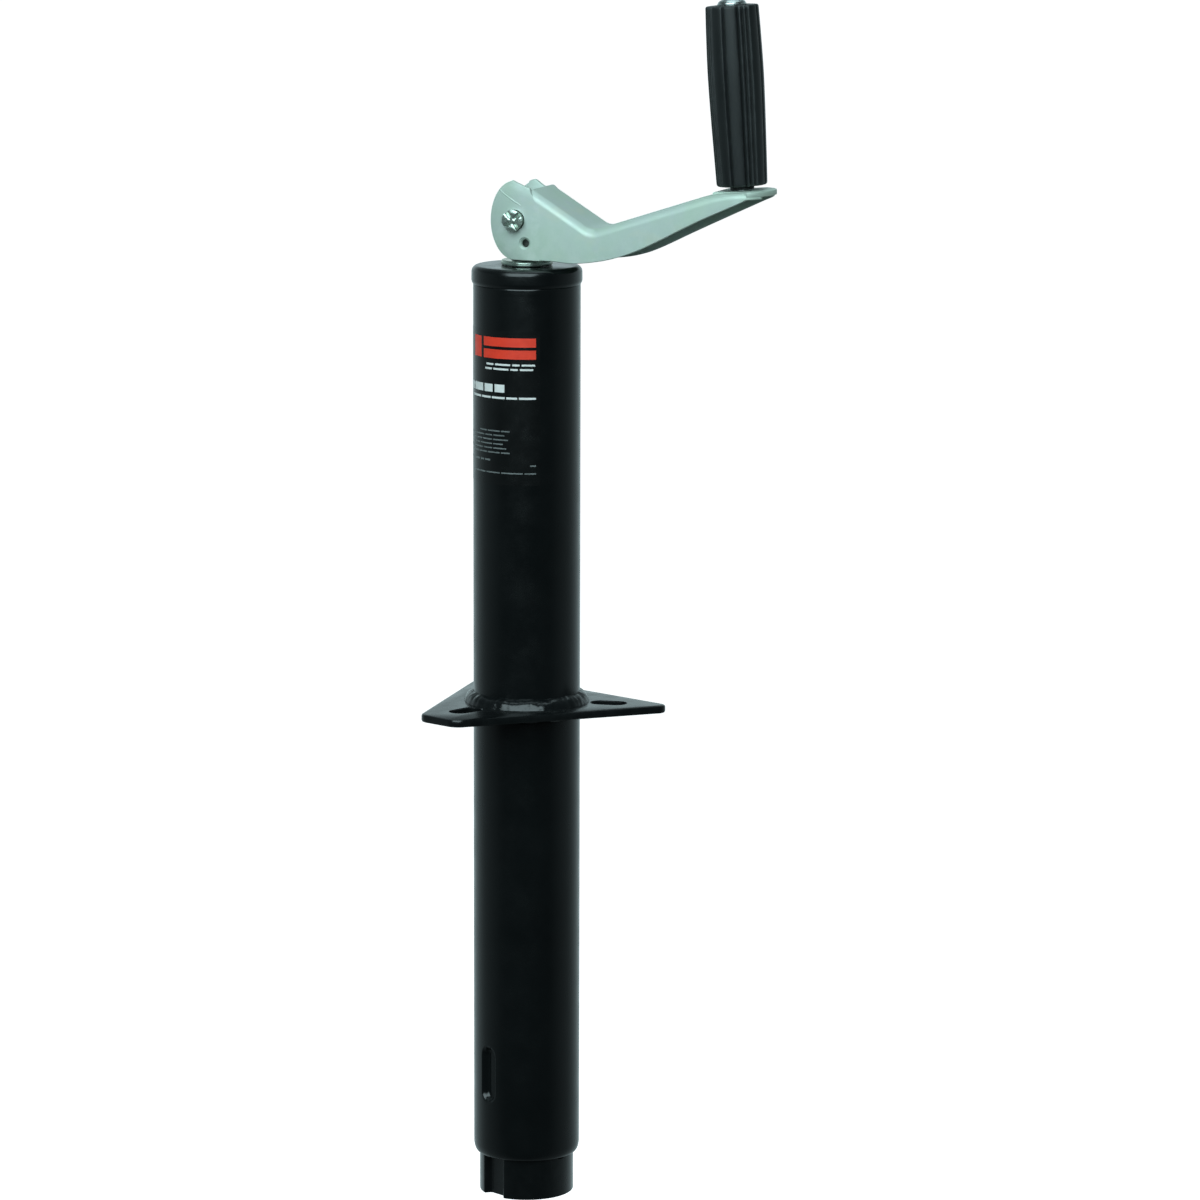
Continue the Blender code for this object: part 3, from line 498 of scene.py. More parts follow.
def top_cap():
    """The pressed cap, with a full shoulder and a skirt that closes in on the tube."""
    low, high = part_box("top_cap")
    radius, top = high.x, high.z
    bore, skirt, roof = SHANK_R + HOLE_CLEAR, radius - 2 * MM, top - 4 * MM
    points = (  # each corner with its radius in millimetres
        ((bore, roof), 0.3), ((bore, top), 0.6), ((radius - 0.1 * MM, top), 3.4),
        ((radius, top - 8.2 * MM), 3.0), ((radius - 0.75 * MM, low.z + 0.3 * MM), 0.25),
        ((radius - 1.1 * MM, low.z), 0), ((skirt, low.z), 0.3), ((skirt, roof), 0.5),
    )
    corners, radii = zip(*points)
    profile = rounded(corners, [r * MM for r in radii], 9)
    piece("cap", lathe(profile, 160), ENAMEL, "housing", ["top_cap"])


def flange():
    """The bolt-on plate, with rounded edges and three radial slots."""
    low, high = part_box("mounting_flange")
    base, nose, thick = high.y, -low.y, high.z - low.z
    slope, rise = cos(FLANGE_HALF_ANGLE), sin(FLANGE_HALF_ANGLE)
    base_x = (FLANGE_SIDE + rise * base) / slope
    nose_x = (FLANGE_SIDE - rise * nose) / slope
    corners = [(base_x, base), (-base_x, base), (-nose_x, -nose), (nose_x, -nose)]
    outline = rounded(corners, [5 * MM, 5 * MM, 7 * MM, 9 * MM], 12)
    place = Matrix.Translation((0, 0, low.z))
    made = piece("flange_plate", prism(outline, 0, thick, 1.0 * MM), ENAMEL, "housing", ["mounting_flange"],
                 place)
    cuts = [(rod(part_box("outer_tube")[1].x + 0.05 * MM, 20 * MM, 128), place)]
    past, flare, deep = 3 * MM, 0.5 * MM, 0.6 * MM  # how far the cutter stands proud, and its rounded rim
    for degrees in SLOT_TURNS:
        turn = radians(degrees)
        spot = Matrix.Translation((SLOT_CIRCLE * cos(turn), SLOT_CIRCLE * sin(turn), low.z))
        lie = Matrix.Rotation(turn - pi / 2, 4, "Z")
        loops = []
        for grow, z in ((past, -past), (flare, 0), (0, deep),
                        (0, thick - deep), (flare, thick), (past, thick + past)):
            loops.append([(x, y, z) for x, y in stadium(SLOT_WIDTH + 2 * grow, SLOT_LENGTH + 2 * grow)])
        cuts.append((loft(loops), spot @ lie))
    shape_with(made, cuts)


def weld_bead(name, node, outward, upward, way):
    """A fillet bead round the tube, rippled and uneven. way is 1 above a plate, -1 below it."""
    low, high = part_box(node)
    tube_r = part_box("outer_tube")[1].x
    sunk = 0.3 * MM
    start = low.z - sunk if way > 0 else high.z + sunk
    steps, rows, ripples, overlap, hollow, fullness = 300, 14, 44, 0.55, 1.25, 0.20
    ripple, lump = 0.11 * MM, 0.30 * MM

    def lumps(turn, scale, seed):
        return noise.noise(Vector((cos(turn) * scale, sin(turn) * scale, seed)))

    loops = []
    for k in range(rows + 1):
        share = k / rows
        bulge = sin(pi * share)
        loop = []
        for i in range(steps):
            turn = 2 * pi * i / steps
            out = outward * (1 + 0.10 * lumps(turn, 3.1, 1.0) + 0.05 * lumps(turn, 11.0, 4.0))
            up = upward * (1 + 0.13 * lumps(turn, 3.7, 2.0) + 0.06 * lumps(turn, 13.0, 7.0))
            wave = (turn * ripples / (2 * pi) + overlap * bulge) % 1.0
            proud = ripple * bulge * (sqrt(wave) - 0.5) + lump * bulge * lumps(turn, 5.0, 3.0 + share)
            full = fullness * bulge
            r = tube_r + out * ((1 - share) ** hollow + full) + proud
            z = start + way * (up * (share ** hollow + full) + proud)
            loop.append((r * cos(turn), r * sin(turn), z))
        loops.append(loop)
    heel = ((tube_r - sunk, start + way * upward * 0.9), (tube_r - sunk, start - way * sunk),
            (tube_r + 0.8 * outward, start - way * sunk))
    loops += [ring(r, z, steps) for r, z in heel]
    piece(name, loft(loops, closed_path=True), WELD, "housing", [node], sharp=60)


def patch(built, radius, thick, turn_from, turn_to, z_from, z_to, material_index):
    """A thin closed block on the tube's surface, added to a mesh."""
    steps = ceil((turn_to - turn_from) / radians(2))
    turns = [turn_from + (turn_to - turn_from) * i / steps for i in range(steps + 1)]
    loops = []
    for turn in turns:
        section = [(radius, z_from), (radius + thick, z_from), (radius + thick, z_to), (radius, z_to)]
        loops.append([built.verts.new((r * cos(turn), r * sin(turn), z)) for r, z in section])
    faces = [built.faces.new(loops[0][::-1]), built.faces.new(loops[-1])]
    for a, b in zip(loops, loops[1:]):
        faces += [built.faces.new((a[i], a[(i + 1) % 4], b[(i + 1) % 4], b[i])) for i in range(4)]
    for face in faces:
        face.material_index = material_index


def label():
    """A wrap-round film with plain printed blocks and rows of dashes, and no lettering."""
    low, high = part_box("label")
    tube_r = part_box("outer_tube")[1].x
    from_turn, to_turn = radians(183), radians(327)
    sunk, film = 0.02 * MM, 0.10 * MM
    built = bmesh.new()
    patch(built, tube_r - sunk, film, from_turn, to_turn, low.z, high.z, 0)
    piece("label_film", built, VINYL, "housing", ["label"])

    ink_r, ink = tube_r - sunk + film - 0.01 * MM, 0.03 * MM
    per_mm = 1 / (tube_r / MM)  # radians for a millimetre round the tube
    right = to_turn - 2.2 * per_mm
    print_on = bmesh.new()
    red, white, grey = range(3)

    def block(left_mm, width_mm, down_mm, tall_mm, which):
        """A printed bar, placed from the right margin and from the film's top."""
        end = right - left_mm * per_mm
        top = high.z - down_mm * MM
        patch(print_on, ink_r, ink, end - width_mm * per_mm, end, top - tall_mm * MM, top, which)

    def dashes(lengths, start_mm, down_mm, tall_mm, gap_mm, which):
        """A row of dashes that runs leftwards."""
        left = start_mm
        for length in lengths:
            block(left, length, down_mm, tall_mm, which)
            left += length + gap_mm

    for k in range(2):  # two stacked bars, with a short block beside them
        block(0, 31, 3.6 + 6.4 * k, 4.8, red)
    block(33, 8, 3.6, 11.2, red)
    for row in range(2):
        dashes((7, 4, 9, 5), 0.5 + row, 17.4 + 2.4 * row, 1.0, 1.1, white)
    dashes((6, 6, 9, 9), 17, 28.5, 4.2, 1.3, white)
    dashes((9, 6, 8, 7, 9), 0, 35.0, 1.1, 0.9, white)
    for row in range(6):
        lengths = [5 + (7 * row + 3 * k) % 5 for k in range(3 + (row * 5) % 3)]
        dashes(lengths, 14 + (row * 3) % 5, 53.0 + 2.3 * row, 0.7, 0.8, grey)
    dashes((4, 3, 6, 9, 9), 26, 68.6, 0.9, 0.9, grey)
    block(0, 3, 71.0, 0.8, grey)
    dashes((6, 12, 9, 14), 0, 75.2, 0.7, 0.9, grey)
    made = piece("label_print", print_on, RED_INK, "housing")
    made.data.materials.append(WHITE_INK)
    made.data.materials.append(GREY_INK)


# --- screw, ram ---------------------------------------------------------------


def thread_on(built, bottom, top):
    """Adds the left-hand thread's skin between two heights, closed at both ends."""
    flat, steps = THREAD_FLAT / 2, 48
    levels = [(-flat, THREAD_CREST), (flat, THREAD_CREST),
              (LEAD / 2 - flat, THREAD_ROOT), (LEAD / 2 + flat, THREAD_ROOT)]
    ahead = len(levels)  # rows to the same place one turn on
    grid = []
    for turn in range(int(bottom // LEAD) - 1, int(top // LEAD) + 2):
        for offset, r in levels:
            row = []
            for i in range(steps):
                angle = 2 * pi * i / steps
                z = min(max(turn * LEAD + offset - LEAD * i / steps, bottom), top)
                row.append(built.verts.new((r * cos(angle), r * sin(angle), z)))
            grid.append(row)
    made = []
    for k in range(len(grid) - ahead - 1):
        for i in range(steps):
            if i + 1 < steps:
                corners = (grid[k][i], grid[k][i + 1], grid[k + 1][i + 1], grid[k + 1][i])
            else:
                corners = (grid[k + ahead][i], grid[k][0], grid[k + 1][0], grid[k + ahead + 1][i])
            made.append(built.faces.new(corners))
    open_edges = [edge for edge in built.edges if edge.is_boundary]
    made += bmesh.ops.holes_fill(built, edges=open_edges)["faces"]
    bmesh.ops.recalc_face_normals(built, faces=made)
    spare = [vert for vert in built.verts if not vert.link_faces]
    bmesh.ops.delete(built, geom=spare, context="VERTS")


def lead_screw(pivot_place):
    """The screw: its cross-drilled head, shank and collar, and the thread below."""
    low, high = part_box("lead_screw")
    collar_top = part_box("lower_race")[0].z - 0.3 * MM
    collar_low, collar_r, soft = collar_top - 6 * MM, 17 * MM, 0.4 * MM
    bottom, top = low.z + 12.4 * MM, collar_top - 26 * MM  # of the thread
    head_low, head_high, head_r = pivot_place.translation.z - 9.4 * MM, high.z, 9.5 * MM
    profile = [
        (0, top - 1 * MM), (THREAD_ROOT - 0.3 * MM, top - 1 * MM),
        (THREAD_CREST, top + 2 * MM), (THREAD_CREST, collar_low),
        (collar_r - soft, collar_low), (collar_r, collar_low + soft),
        (collar_r, collar_top - soft), (collar_r - soft, collar_top),
        (SHANK_R, collar_top), (SHANK_R, head_low - 1.2 * MM),
        (head_r - soft, head_low + soft), (head_r, head_low + 1.2 * MM),
        (head_r, head_high - 1.6 * MM), (head_r - 0.5 * MM, head_high - 0.5 * MM),
        (head_r - 1.5 * MM, head_high), (0, head_high),
    ]
    made = piece("screw", lathe(profile, 72, closed=False), OILED, "screw", ["lead_screw"],
                 sharp=30)
    shape_with(made, [(rod(PIN_R + HOLE_CLEAR, 30 * MM), pivot_place @ LYING)], sharp=30)

    tail_r, tail_top = THREAD_ROOT - soft, bottom + 1 * MM
    tail = [(0, low.z), (tail_r - soft, low.z), (tail_r, low.z + soft), (tail_r, tail_top), (0, tail_top)]
    below = piece("screw_tail", lathe(tail, 72, closed=False), None)
    built = bmesh.new()
    thread_on(built, bottom, top)
    built.from_mesh(below.data)
    built.from_mesh(made.data)
    built.to_mesh(made.data)
    built.free()
    bpy.data.objects.remove(below, do_unlink=True)
    made.data.set_sharp_from_angle(angle=radians(30))


def grooved(radius, mouth, floor, depth, mouth_round, floor_round):
    """A circle with a flat-floored groove towards -Y, its corners rounded."""
    reach = asin(mouth / radius)
    circle = arc((0, 0), radius, -pi / 2 + reach, 3 * pi / 2 - reach, 96)
    corners = circle + [(-floor, depth - radius), (floor, depth - radius)]
    radii = [mouth_round] + [0] * (len(circle) - 2) + [mouth_round, floor_round, floor_round]
    return rounded(corners, radii, 6)


def inner_tube():
    """The ram: a painted tube with its guide groove and the pin hole near the foot."""
    low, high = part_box("inner_tube")
    outer = grooved(RAM_R, GROOVE_MOUTH, GROOVE_FLOOR, GROOVE_DEPTH, 1.0 * MM, 1.9 * MM)
    inner = grooved(RAM_R - RAM_WALL, GROOVE_MOUTH + 1.6 * MM, GROOVE_FLOOR + 1.8 * MM, GROOVE_DEPTH,
                    1.2 * MM, 0.8 * MM)
    foot_soft, soft, opened = 0.8 * MM, 0.4 * MM, -0.3 * MM
    levels = [(outer, foot_soft * (1 - sin(t)), low.z + foot_soft * (1 - cos(t))) for t in quarter(4)]
    levels += [(outer, 0, high.z - soft), (outer, soft, high.z), (inner, opened, high.z)]
    levels += [(inner, 0, high.z - soft), (inner, 0, low.z + soft), (inner, opened, low.z)]
    loops = [[(x, y, z) for x, y in inset(outline, away)] for outline, away, z in levels]
    made = piece("ram_tube", loft(loops, closed_path=True), ENAMEL, "ram", ["inner_tube"],
                 TO_GROOVE, sharp=40)
    across = Matrix.Translation((0, 0, FOOT_HOLE_UP)) @ Matrix.Rotation(pi / 2, 4, "Y")
    shape_with(made, [(rod(FOOT_HOLE_R, 40 * MM), across)], sharp=40)


def foot_plate():
    """The plate welded in the ram's foot, a little inside its rim."""
    low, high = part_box("ram_end_plate")
    soft = 0.6 * MM
    outline = grooved(22.4 * MM, GROOVE_MOUTH + 1.7 * MM, GROOVE_FLOOR + 1.9 * MM, GROOVE_DEPTH, soft, soft)
    piece("foot_plate", prism(outline, low.z, high.z, 0.4 * MM), ENAMEL, "ram", ["ram_end_plate"],
          TO_GROOVE)


# --- handle -------------------------------------------------------------------


def handle_frame():
    """The pivot's place, +X along the arm and +Y along the pivot pin, away from the tube's label."""
    joint = JOINTS["handle_fold"]
    y = -Vector(joint["axis"]).normalized()
    z = Vector((0, 0, 1))
    x = y.cross(z)
    place = Matrix((x, y, z)).transposed().to_4x4()
    place.translation = Vector(joint["pos_m"])
    return place


def grip_frame(pivot_place):
    """The spindle's place, +Z along it and +X outwards along the arm."""
    joint = JOINTS["grip_spin"]
    z = Vector(joint["axis"]).normalized()
    arm = pivot_place.to_3x3() @ Vector((1, 0, 0))
    x = (arm - z * arm.dot(z)).normalized()
    place = Matrix((x, z.cross(x), z)).transposed().to_4x4()
    place.translation = Vector(joint["pos_m"])
    return place


def in_mm(points):
    return [(x * MM, z * MM) for x, z in points]


def ear_outline(height, bumps, foot_z, join):
    """A side plate in side view: bumps along its top, an oval end, and a foot that meets the arm."""
    oval = []
    for t in (pi * i / 40 for i in range(38, 1, -1)):
        reach = height if cos(t) < 0 else 20.8 * MM
        x, z = -13.6 * MM * sin(t), -0.3 * MM - reach * cos(t)
        if z < 0 or x < bumps[-1][0] - 0.4 * MM:
            oval.append((x, z))
    low = [(2 * MM, foot_z), (join, foot_z), (join, 6 * MM)]
    return bumps + oval + low, [True] * (len(bumps) + len(oval) + 1) + [False] * 2


def channel(place, spindle_out, tab_z):
    """The arm itself, as a loft of channel sections along its length."""
    start, end, tip = 9.0 * MM, spindle_out + 14.0 * MM, 150 * MM
    tip_z = tab_z + (tip - spindle_out) * tan(LEAN_TAB)
    bends = in_mm(((7.0, 17.5), (42.3, -4.1), (110, 17.9)))
    web_path = rounded([*bends, (tip, tip_z)], [0, 9 * MM, 60 * MM, 0], 12, closed=False)

    def web(s):
        """Height and slope of the web at a distance along the arm."""
        x0, z0, x1, z1 = next((*a, *b) for a, b in zip(web_path, web_path[1:]) if s <= b[0])
        slope = (z1 - z0) / (x1 - x0)
        return z0 + slope * (s - x0), slope

    near_low = through(in_mm((
        (5, -21.1), (20, -21.0), (33, -21.7), (49.5, -19.6), (64, -15.4), (76, -10.1), (101, 2.6),
        (118, 10.3), (126, 14.0), (131, 17.0), (136, 19.0))))
    far_low = through(in_mm((
        (5, -21.1), (20, -21.0), (33, -22.0), (50, -20.8), (61, -18.4), (70, -14.9), (88.4, -6.0),
        (118.5, 8.1), (128, 12.4), (132, 14.0), (136, 16.0))))
    rim, steps, sections = 0.35 * MM, 9, 150
    loops = []
    for s in (start + (end - start) * i / sections for i in range(sections + 1)):
        wide = CHANNEL_HALF if s <= spindle_out else sqrt(CHANNEL_HALF ** 2 - (s - spindle_out) ** 2)
        top, slope = web(s)
        bend = BEND + (TIP_BEND - BEND) * smooth_step((s - 105 * MM) / (18 * MM))
        outer = arc((-wide + bend, top - bend), bend, pi, pi / 2, steps)
        outer += arc((wide - bend, top - bend), bend, pi / 2, 0, steps)
        tight, inside = bend - SHEET, wide - SHEET
        hub = top - SHEET * sqrt(1 + slope * slope) - tight  # height of the inner bends' centres
        inner = arc((inside - tight, hub), tight, 0, pi / 2, steps)
        inner += arc((tight - inside, hub), tight, pi / 2, pi, steps)
        near, far = (min(low(s), hub - rim - 0.2 * MM) for low in (near_low, far_low))
        foot_far = [(wide, far + rim), (wide - rim, far), (inside + rim, far), (inside, far + rim)]
        foot_near = [(-inside, near + rim), (-inside - rim, near), (-wide + rim, near), (-wide, near + rim)]
        loops.append([(s, y, z) for y, z in outer + foot_far + inner + foot_near])
    return piece("crank_arm", loft(loops), ZINC, place=place)


def handle_channel(place, spindle_out, tab_z):
    """The pressed steel crank arm: a channel with rounded bends, two ears and a rounded tab."""
    made = channel(place, spindle_out, tab_z)
    near_top = rounded(in_mm(((14, 6), (9.2, 14.6), (8.6, 17.0), (4.4, 18.3), (-1.5, 20.9))),
                       [0, 0.8 * MM, 1.6 * MM, 3.5 * MM, 0], 5, closed=False)[1:]
    far_top = rounded(in_mm(((14, 6), (12.4, 12.4), (8.2, 16.3), (4.0, 14.7), (-1.8, 18.9), (-4.6, 17.6))),
                      [0, 1.5 * MM, 2.4 * MM, 3 * MM, 2.5 * MM, 0], 5, closed=False)[1:]
    sunk = 0.02 * MM  # keeps the ears' faces clear of the channel's own
    parts = []
    for tops, height, side in ((near_top, 21.1 * MM, -1), (far_top, 18.2 * MM, 1)):
        outline, edged = ear_outline(height, tops, -21.05 * MM, 14 * MM)
        low, high = sorted((-side * (CHANNEL_HALF - sunk), -side * (CHANNEL_HALF - SHEET + sunk)))
        parts.append((prism(outline, low, high, 0.35 * MM, edged), place @ LYING))

    neck = in_mm(((6.5, 15.7), (4, 14.2), (0, 12.8)))
    reach = radians(64)
    disc = in_mm(((-12, 12.6), (-12, -12.6))) + [(x, -y) for x, y in reversed(neck)]
    disc += arc((0, 0), CHANNEL_HALF, -reach, reach, 30) + neck
    tab_place = place @ Matrix.Translation((spindle_out, 0, tab_z))
    parts.append((prism(disc, -SHEET, 0, 0.5 * MM), tab_place @ Matrix.Rotation(-LEAN_TAB, 4, "Y")))

    crease_r, point, proud = 0.45 * MM, 0.3 * MM, 0.22 * MM
    crease = in_mm(((-8.4, 15.9), (-6.0, 13.8), (-1.5, 10.7), (3.4, 7.8)))
    for (x0, z0), (x1, z1) in zip(crease, crease[1:]):
        half = hypot(x1 - x0, z1 - z0) / 2
        ends = [(0, -half - point), (crease_r, -half), (crease_r, half), (0, half + point)]
        middle = Matrix.Translation(((x0 + x1) / 2, proud - CHANNEL_HALF, (z0 + z1) / 2))
        turned = Matrix.Rotation(pi / 2 - atan2(z1 - z0, x1 - x0), 4, "Y")
        parts.append((lathe(ends, 12, closed=False), place @ middle @ turned))
    shape_with(made, parts, "UNION")

    side = in_mm(((0, 25), (4.6, 25), (4.6, 19.2), (2.2, 16.9)))  # half the cutter for the hole below the pin
    sink = lathe([(r, -z) for r, z in side] + side[::-1], 40, closed=False)
    spot = Matrix.Translation((5.7 * MM, 0, -12.1 * MM))
    cuts = [(rod(PIN_R + HOLE_CLEAR, 40 * MM), place @ LYING), (sink, place @ spot @ LYING),
            (rod(SPINDLE_R + HOLE_CLEAR, 2 * SHEET), tab_place)]
    shape_with(made, cuts)
    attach(made, "handle")
    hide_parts("handle_channel")


def staked_end(radius, length):
    """A pin about Z whose ends are upset by four chisel marks."""
    steps, rows, marks, sunk = 72, 12, 4, 0.5 * MM
    mark_half, mark_deep, dome, upset, swell = 0.75 * MM, 0.9 * MM, 0.5 * MM, 0.45 * MM, 0.10
    built = bmesh.new()

    def end_ring(side, share):
        row = []
        for i in range(steps):
            turn = 2 * pi * i / steps
            near = abs((turn * marks / (2 * pi) + 0.5) % 1.0 - 0.5) / marks * 2 * pi * radius * share
            mark = exp(-(near / mark_half) ** 2) * smooth_step((share - 0.15) / 0.3)
            rise = upset * (1 - mark) * smooth_step(share * 1.6 - 0.4)
            z = length / 2 - mark_deep * mark - dome * share ** 4 + rise - sunk
            r = radius * share * (1 + swell * share ** 6 * (1 - mark))
            row.append(built.verts.new((r * cos(turn), r * sin(turn), side * z)))
        return row

    middle = length / 2 - 2.6 * MM
    rings = [[built.verts.new((0, 0, sunk - length / 2))]]
    rings += [end_ring(-1, k / rows) for k in range(1, rows + 1)]
    rings += [[built.verts.new(point) for point in ring(radius, z, steps)] for z in (-middle, middle)]
    rings += [end_ring(1, k / rows) for k in range(rows, 0, -1)]
    rings.append([built.verts.new((0, 0, length / 2 - sunk))])
    skin(built, rings, steps)
    return built


def grip(place):
    """The moulded grip: in each quarter two broad lobes and two narrow ribs, with a groove beside each."""
    top = GRIP_LOW + GRIP_LENGTH
    start, steps = -35.5, 432
    lobe, rib = 33.0, 12.0  # degrees
    spans = (lobe, lobe, rib, rib) * 4
    crown, rib_drop, groove_deep, groove_half = 0.22 * MM, 0.12 * MM, 1.15 * MM, 0.62 * MM
    belly = through([(share * GRIP_LENGTH, radius * MM) for share, radius in (
        (0, 13.05), (0.2, 13.6), (0.45, 14.2), (0.64, 14.4), (0.85, 14.05), (1, 13.6))])

    def relief(degrees, radius):
        """How far the surface stands above or below the belly's curve."""
        into = (degrees - start) % 360
        edge = 0.0
        for span in spans:
            if into < edge + span:
                break
            edge += span
        x = (into - edge) / span
        nearest = min(x, 1 - x) * radians(span) * radius
        groove = groove_deep * exp(-(nearest / groove_half) ** 2)
        return (crown * sin(pi * x) if span == lobe else -rib_drop) - groove

    low_soft, top_soft, rows = 1.5 * MM, 1.1 * MM, 36
    levels = [(GRIP_LOW + low_soft * (1 - cos(t)), -low_soft * (1 - sin(t))) for t in quarter(7)]
    levels += [(GRIP_LOW + 2 * MM + (GRIP_LENGTH - 4 * MM) * i / rows, 0.0) for i in range(rows + 1)]
    levels += [(top - top_soft * (1 - cos(t)), -top_soft * (1 - sin(t))) for t in quarter(6)[::-1]]
    loops = []
    for z, away in levels:
        radius = belly(z - GRIP_LOW)
        loop = []
        for i in range(steps):
            turn = 2 * pi * i / steps
            r = radius + relief(360 * i / steps, radius) + away
            loop.append((r * cos(turn), r * sin(turn), z))
        loops.append(loop)
    bore, mouth_r, floor_r, deep = SPINDLE_R + HOLE_CLEAR, 9.6 * MM, 9.2 * MM, 0.5 * MM
    recess = [(mouth_r, top), (floor_r, top - deep), (bore, top - deep)]
    recess += [(bore, GRIP_LOW + deep), (floor_r, GRIP_LOW + deep), (mouth_r, GRIP_LOW)]
    loops += [ring(r, z, steps) for r, z in recess]
    piece("grip", loft(loops, closed_path=True), PLASTIC, "grip", ["hand_grip"], place,
          sharp=50)


def turned_pieces(pivot_place, grip_place):
    """The round pieces: washer, pin, spindle, grip washer, push nut."""
    low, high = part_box("top_washer")
    bore = SHANK_R + HOLE_CLEAR
    corners = [(bore, low.z), (high.x, low.z), (high.x, high.z), (bore, high.z)]
    washer = rounded(corners, [0.3 * MM, 0.7 * MM, 0.9 * MM, 0.3 * MM], 5)
    piece("washer", lathe(washer, 128), BRIGHT_ZINC, "screw", ["top_washer"])

    lying = LYING @ Matrix.Rotation(radians(38), 4, "Z")
    piece("staked_pin", staked_end(PIN_R, PIN_LENGTH), BRIGHT_ZINC, "handle", ["pivot_pin"],
          pivot_place @ lying)

    def on_spindle(name, profile, closed, material, node):
        piece(name, lathe(profile, 64, closed), material, "handle", [node], grip_place)

    top = GRIP_LOW + GRIP_LENGTH
    rivet, rise, under = 7.2 * MM, 1.5 * MM, -SHEET
    stem_top, soft = top + 2.0 * MM, 0.6 * MM
    stem = [(0, under - 2.2 * MM)]
    stem += [(rivet * sin(t), under - 0.7 * MM - rise * cos(t)) for t in quarter(8)[1:]]
    stem += [(rivet - 0.2 * MM, under - 0.45 * MM), (SPINDLE_R, under - 0.4 * MM)]
    stem += [(SPINDLE_R, stem_top - soft), (SPINDLE_R - soft, stem_top), (0, stem_top)]
    on_spindle("spindle", stem, False, BRIGHT, "grip_spindle")

    inner, outer, base, over = SPINDLE_R + HOLE_CLEAR, 6.3 * MM, 0.4 * MM, 1.8 * MM
    flat = rounded([(inner, base), (outer, base), (outer, over), (inner, over)],
                   [0.15 * MM, 0.3 * MM, 0.3 * MM, 0.15 * MM], 3)
    on_spindle("black_spacer", flat, True, RUBBER, "grip_washer")

    base = top + 0.3 * MM
    brim_r, dome_r, dome_rise = 7.7 * MM, 7.35 * MM, 2.8 * MM
    dome_low, roof = base + 0.6 * MM, base + 2.0 * MM
    cover = [(0, roof), (inner, roof), (inner, base), (brim_r, base), (brim_r, base + 0.5 * MM)]
    cover += [(dome_r * cos(t), dome_low + dome_rise * sin(t)) for t in quarter(10)[:-1]]
    cover.append((0, dome_low + dome_rise))
    on_spindle("dome_nut", cover, False, BRIGHT, "push_nut")


# --- studio -------------------------------------------------------------------


def camera():
    """Looks from the front left of the arm, a little above it."""
    data = bpy.data.cameras.new("camera")
    data.lens, data.sensor_width = CAMERA_LENS, CAMERA_SENSOR
    made = bpy.data.objects.new("camera", data)
    bpy.context.scene.collection.objects.link(made)
    round_z = Matrix.Rotation(CAMERA_AZIMUTH + pi / 2, 4, "Z")
    place = round_z @ Matrix.Translation((0, -CAMERA_OUT, CAMERA_HEIGHT))
    aim = Matrix.Rotation(-CAMERA_YAW, 4, "Z") @ Matrix.Rotation(pi / 2 + CAMERA_PITCH, 4, "X")
    made.matrix_world = place @ aim @ Matrix.Rotation(CAMERA_ROLL, 4, "Z")
    bpy.context.scene.camera = made


def softbox(name, azimuth, elevation, distance, wide, tall, radiance):
    """A rectangular light of a given radiance, facing the middle of the jack."""
    data = bpy.data.lights.new(name, "AREA")
    data.shape = "RECTANGLE"
    data.size, data.size_y = wide, tall
    data.energy = radiance * pi * wide * tall
    data.color = COOL
    made = bpy.data.objects.new(name, data)
    bpy.context.scene.collection.objects.link(made)
    away = Vector((cos(azimuth) * cos(elevation), sin(azimuth) * cos(elevation), sin(elevation)))
    made.location = LIGHTS_FACE + away * distance
    made.rotation_mode = "QUATERNION"
    made.rotation_quaternion = away.to_track_quat("Z", "Y")


def world():
    """White to the camera; for light and reflections a studio, dark behind the camera and dimmer above."""
    made = bpy.data.worlds.new("studio")
    bpy.context.scene.world = made
    made.use_nodes = True
    tree = made.node_tree

    def spread(value, low, high, to_low, to_high):
        node = tree.nodes.new("ShaderNodeMapRange")
        for name, number in (("From Min", low), ("From Max", high), ("To Min", to_low), ("To Max", to_high)):
            node.inputs[name].default_value = number
        tree.links.new(value, node.inputs["Value"])
        return node.outputs["Result"]

    where = tree.nodes.new("ShaderNodeTexCoord").outputs["Generated"]
    facing = tree.nodes.new("ShaderNodeVectorMath")
    facing.operation = "DOT_PRODUCT"
    facing.inputs[1].default_value = (cos(CAMERA_AZIMUTH), sin(CAMERA_AZIMUTH), 0)
    tree.links.new(where, facing.inputs[0])
    ramp = tree.nodes.new("ShaderNodeValToRGB")
    tree.links.new(spread(facing.outputs["Value"], -1, 1, 0, 1), ramp.inputs["Fac"])
    stops = ((0.0, 0.85), (0.14, 0.52), (0.38, 0.24), (0.62, 0.14), (0.80, 0.052), (1.0, 0.038))
    while len(ramp.color_ramp.elements) < len(stops):
        ramp.color_ramp.elements.new(0.5)
    for element, (at, value) in zip(ramp.color_ramp.elements, stops):
        element.position = at
        element.color = (*(value * share for share in COOL), 1)
    lit = tree.nodes["Background"]
    tree.links.new(ramp.outputs["Color"], lit.inputs["Color"])
    height = tree.nodes.new("ShaderNodeSeparateXYZ")
    tree.links.new(where, height.inputs["Vector"])
    tree.links.new(spread(height.outputs["Z"], 0.22, 0.40, 1.0, 0.40), lit.inputs["Strength"])
    seen = tree.nodes.new("ShaderNodeBackground")
    seen.inputs["Color"].default_value = (1, 1, 1, 1)
    both = tree.nodes.new("ShaderNodeMixShader")
    ray = tree.nodes.new("ShaderNodeLightPath").outputs["Is Camera Ray"]
    for socket, end in zip((ray, lit.outputs[0], seen.outputs[0]), both.inputs):
        tree.links.new(socket, end)
    tree.links.new(both.outputs[0], tree.nodes["World Output"].inputs["Surface"])


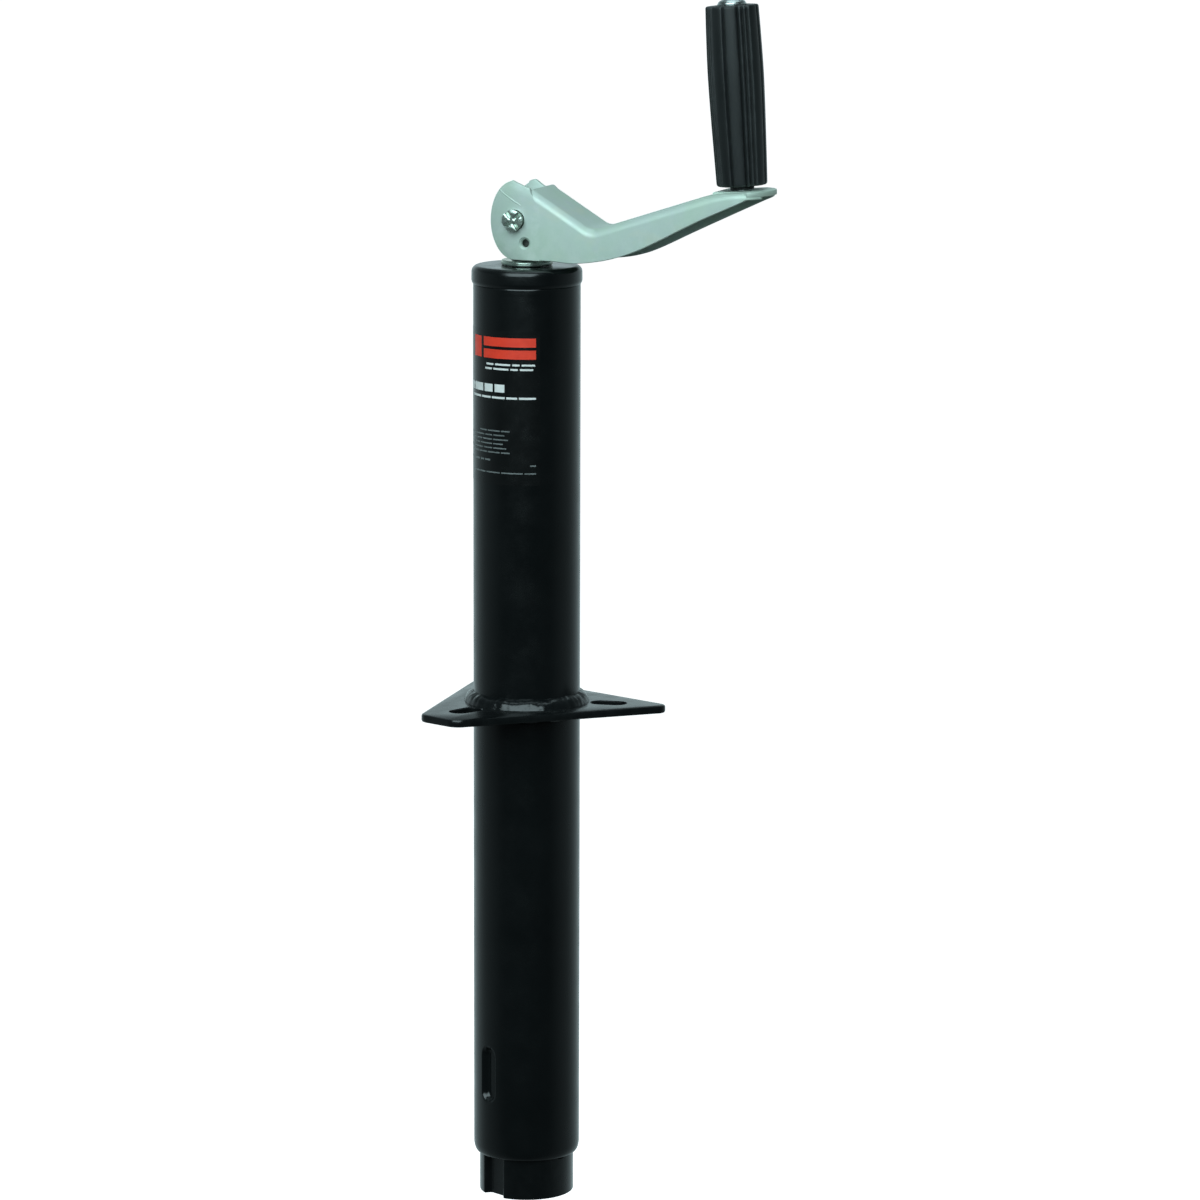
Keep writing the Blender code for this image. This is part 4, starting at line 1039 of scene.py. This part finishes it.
def studio():
    """The floor, the two lights and the surroundings."""
    look = Look("floor", roughness=0.9, specular=0.1)
    look.done(look.mix(look.uneven(look.noise(0.8, 3)), (0.90, 0.90, 0.90), (0.93, 0.93, 0.93)))
    look.shader.inputs["Emission Color"].default_value = (1, 1, 1, 1)
    look.shader.inputs["Emission Strength"].default_value = 0.95
    floor = piece("floor", lathe([(0, FLOOR_Z), (FLOOR_R, FLOOR_Z)], 96, closed=False), look.material)
    floor.visible_glossy = False
    floor.visible_diffuse = False
    softbox("front box", CAMERA_AZIMUTH - radians(14), radians(36), distance=2.3, wide=2.4, tall=2.2,
            radiance=3.75)
    softbox("overhead box", CAMERA_AZIMUTH + radians(160), radians(78), distance=2.2, wide=1.6, tall=1.6,
            radiance=1.4)
    world()
    bpy.context.scene.view_settings.view_transform = "Standard"


def dress_cad():
    """Procedural finishes for the CAD nodes that stay."""
    for node, material in (
        ("upper_race", BRIGHT),
        ("lower_race", BRIGHT),
        ("ball_cage", BRONZE),
        *((f"bearing_ball_{i}", BRIGHT) for i in range(1, 11)),
        ("stop_collar", OILED),
        ("stop_pin", OILED),
        ("lead_nut", BRONZE),
        *((f"nut_pin_{i}", BRIGHT) for i in range(1, 4)),
        ("guide_ring", NYLON),
    ):
        kept = frame["nodes"][node]
        if kept.material_slots:
            kept.material_slots[0].link = "OBJECT"
            kept.material_slots[0].material = material
        else:
            kept.data.materials.append(material)


def main():
    pivot_place = handle_frame()
    grip_place = grip_frame(pivot_place)
    to_spindle = pivot_place.inverted() @ grip_place.translation
    outer_tube()
    top_cap()
    flange()
    weld_bead("weld_above", "flange_weld_upper", outward=5.2 * MM, upward=5.4 * MM, way=1)
    weld_bead("weld_below", "flange_weld_lower", outward=3.8 * MM, upward=3.9 * MM, way=-1)
    label()
    lead_screw(pivot_place)
    inner_tube()
    foot_plate()
    handle_channel(pivot_place, to_spindle.x, to_spindle.z)
    grip(grip_place)
    turned_pieces(pivot_place, grip_place)
    dress_cad()
    camera()
    studio()


main()
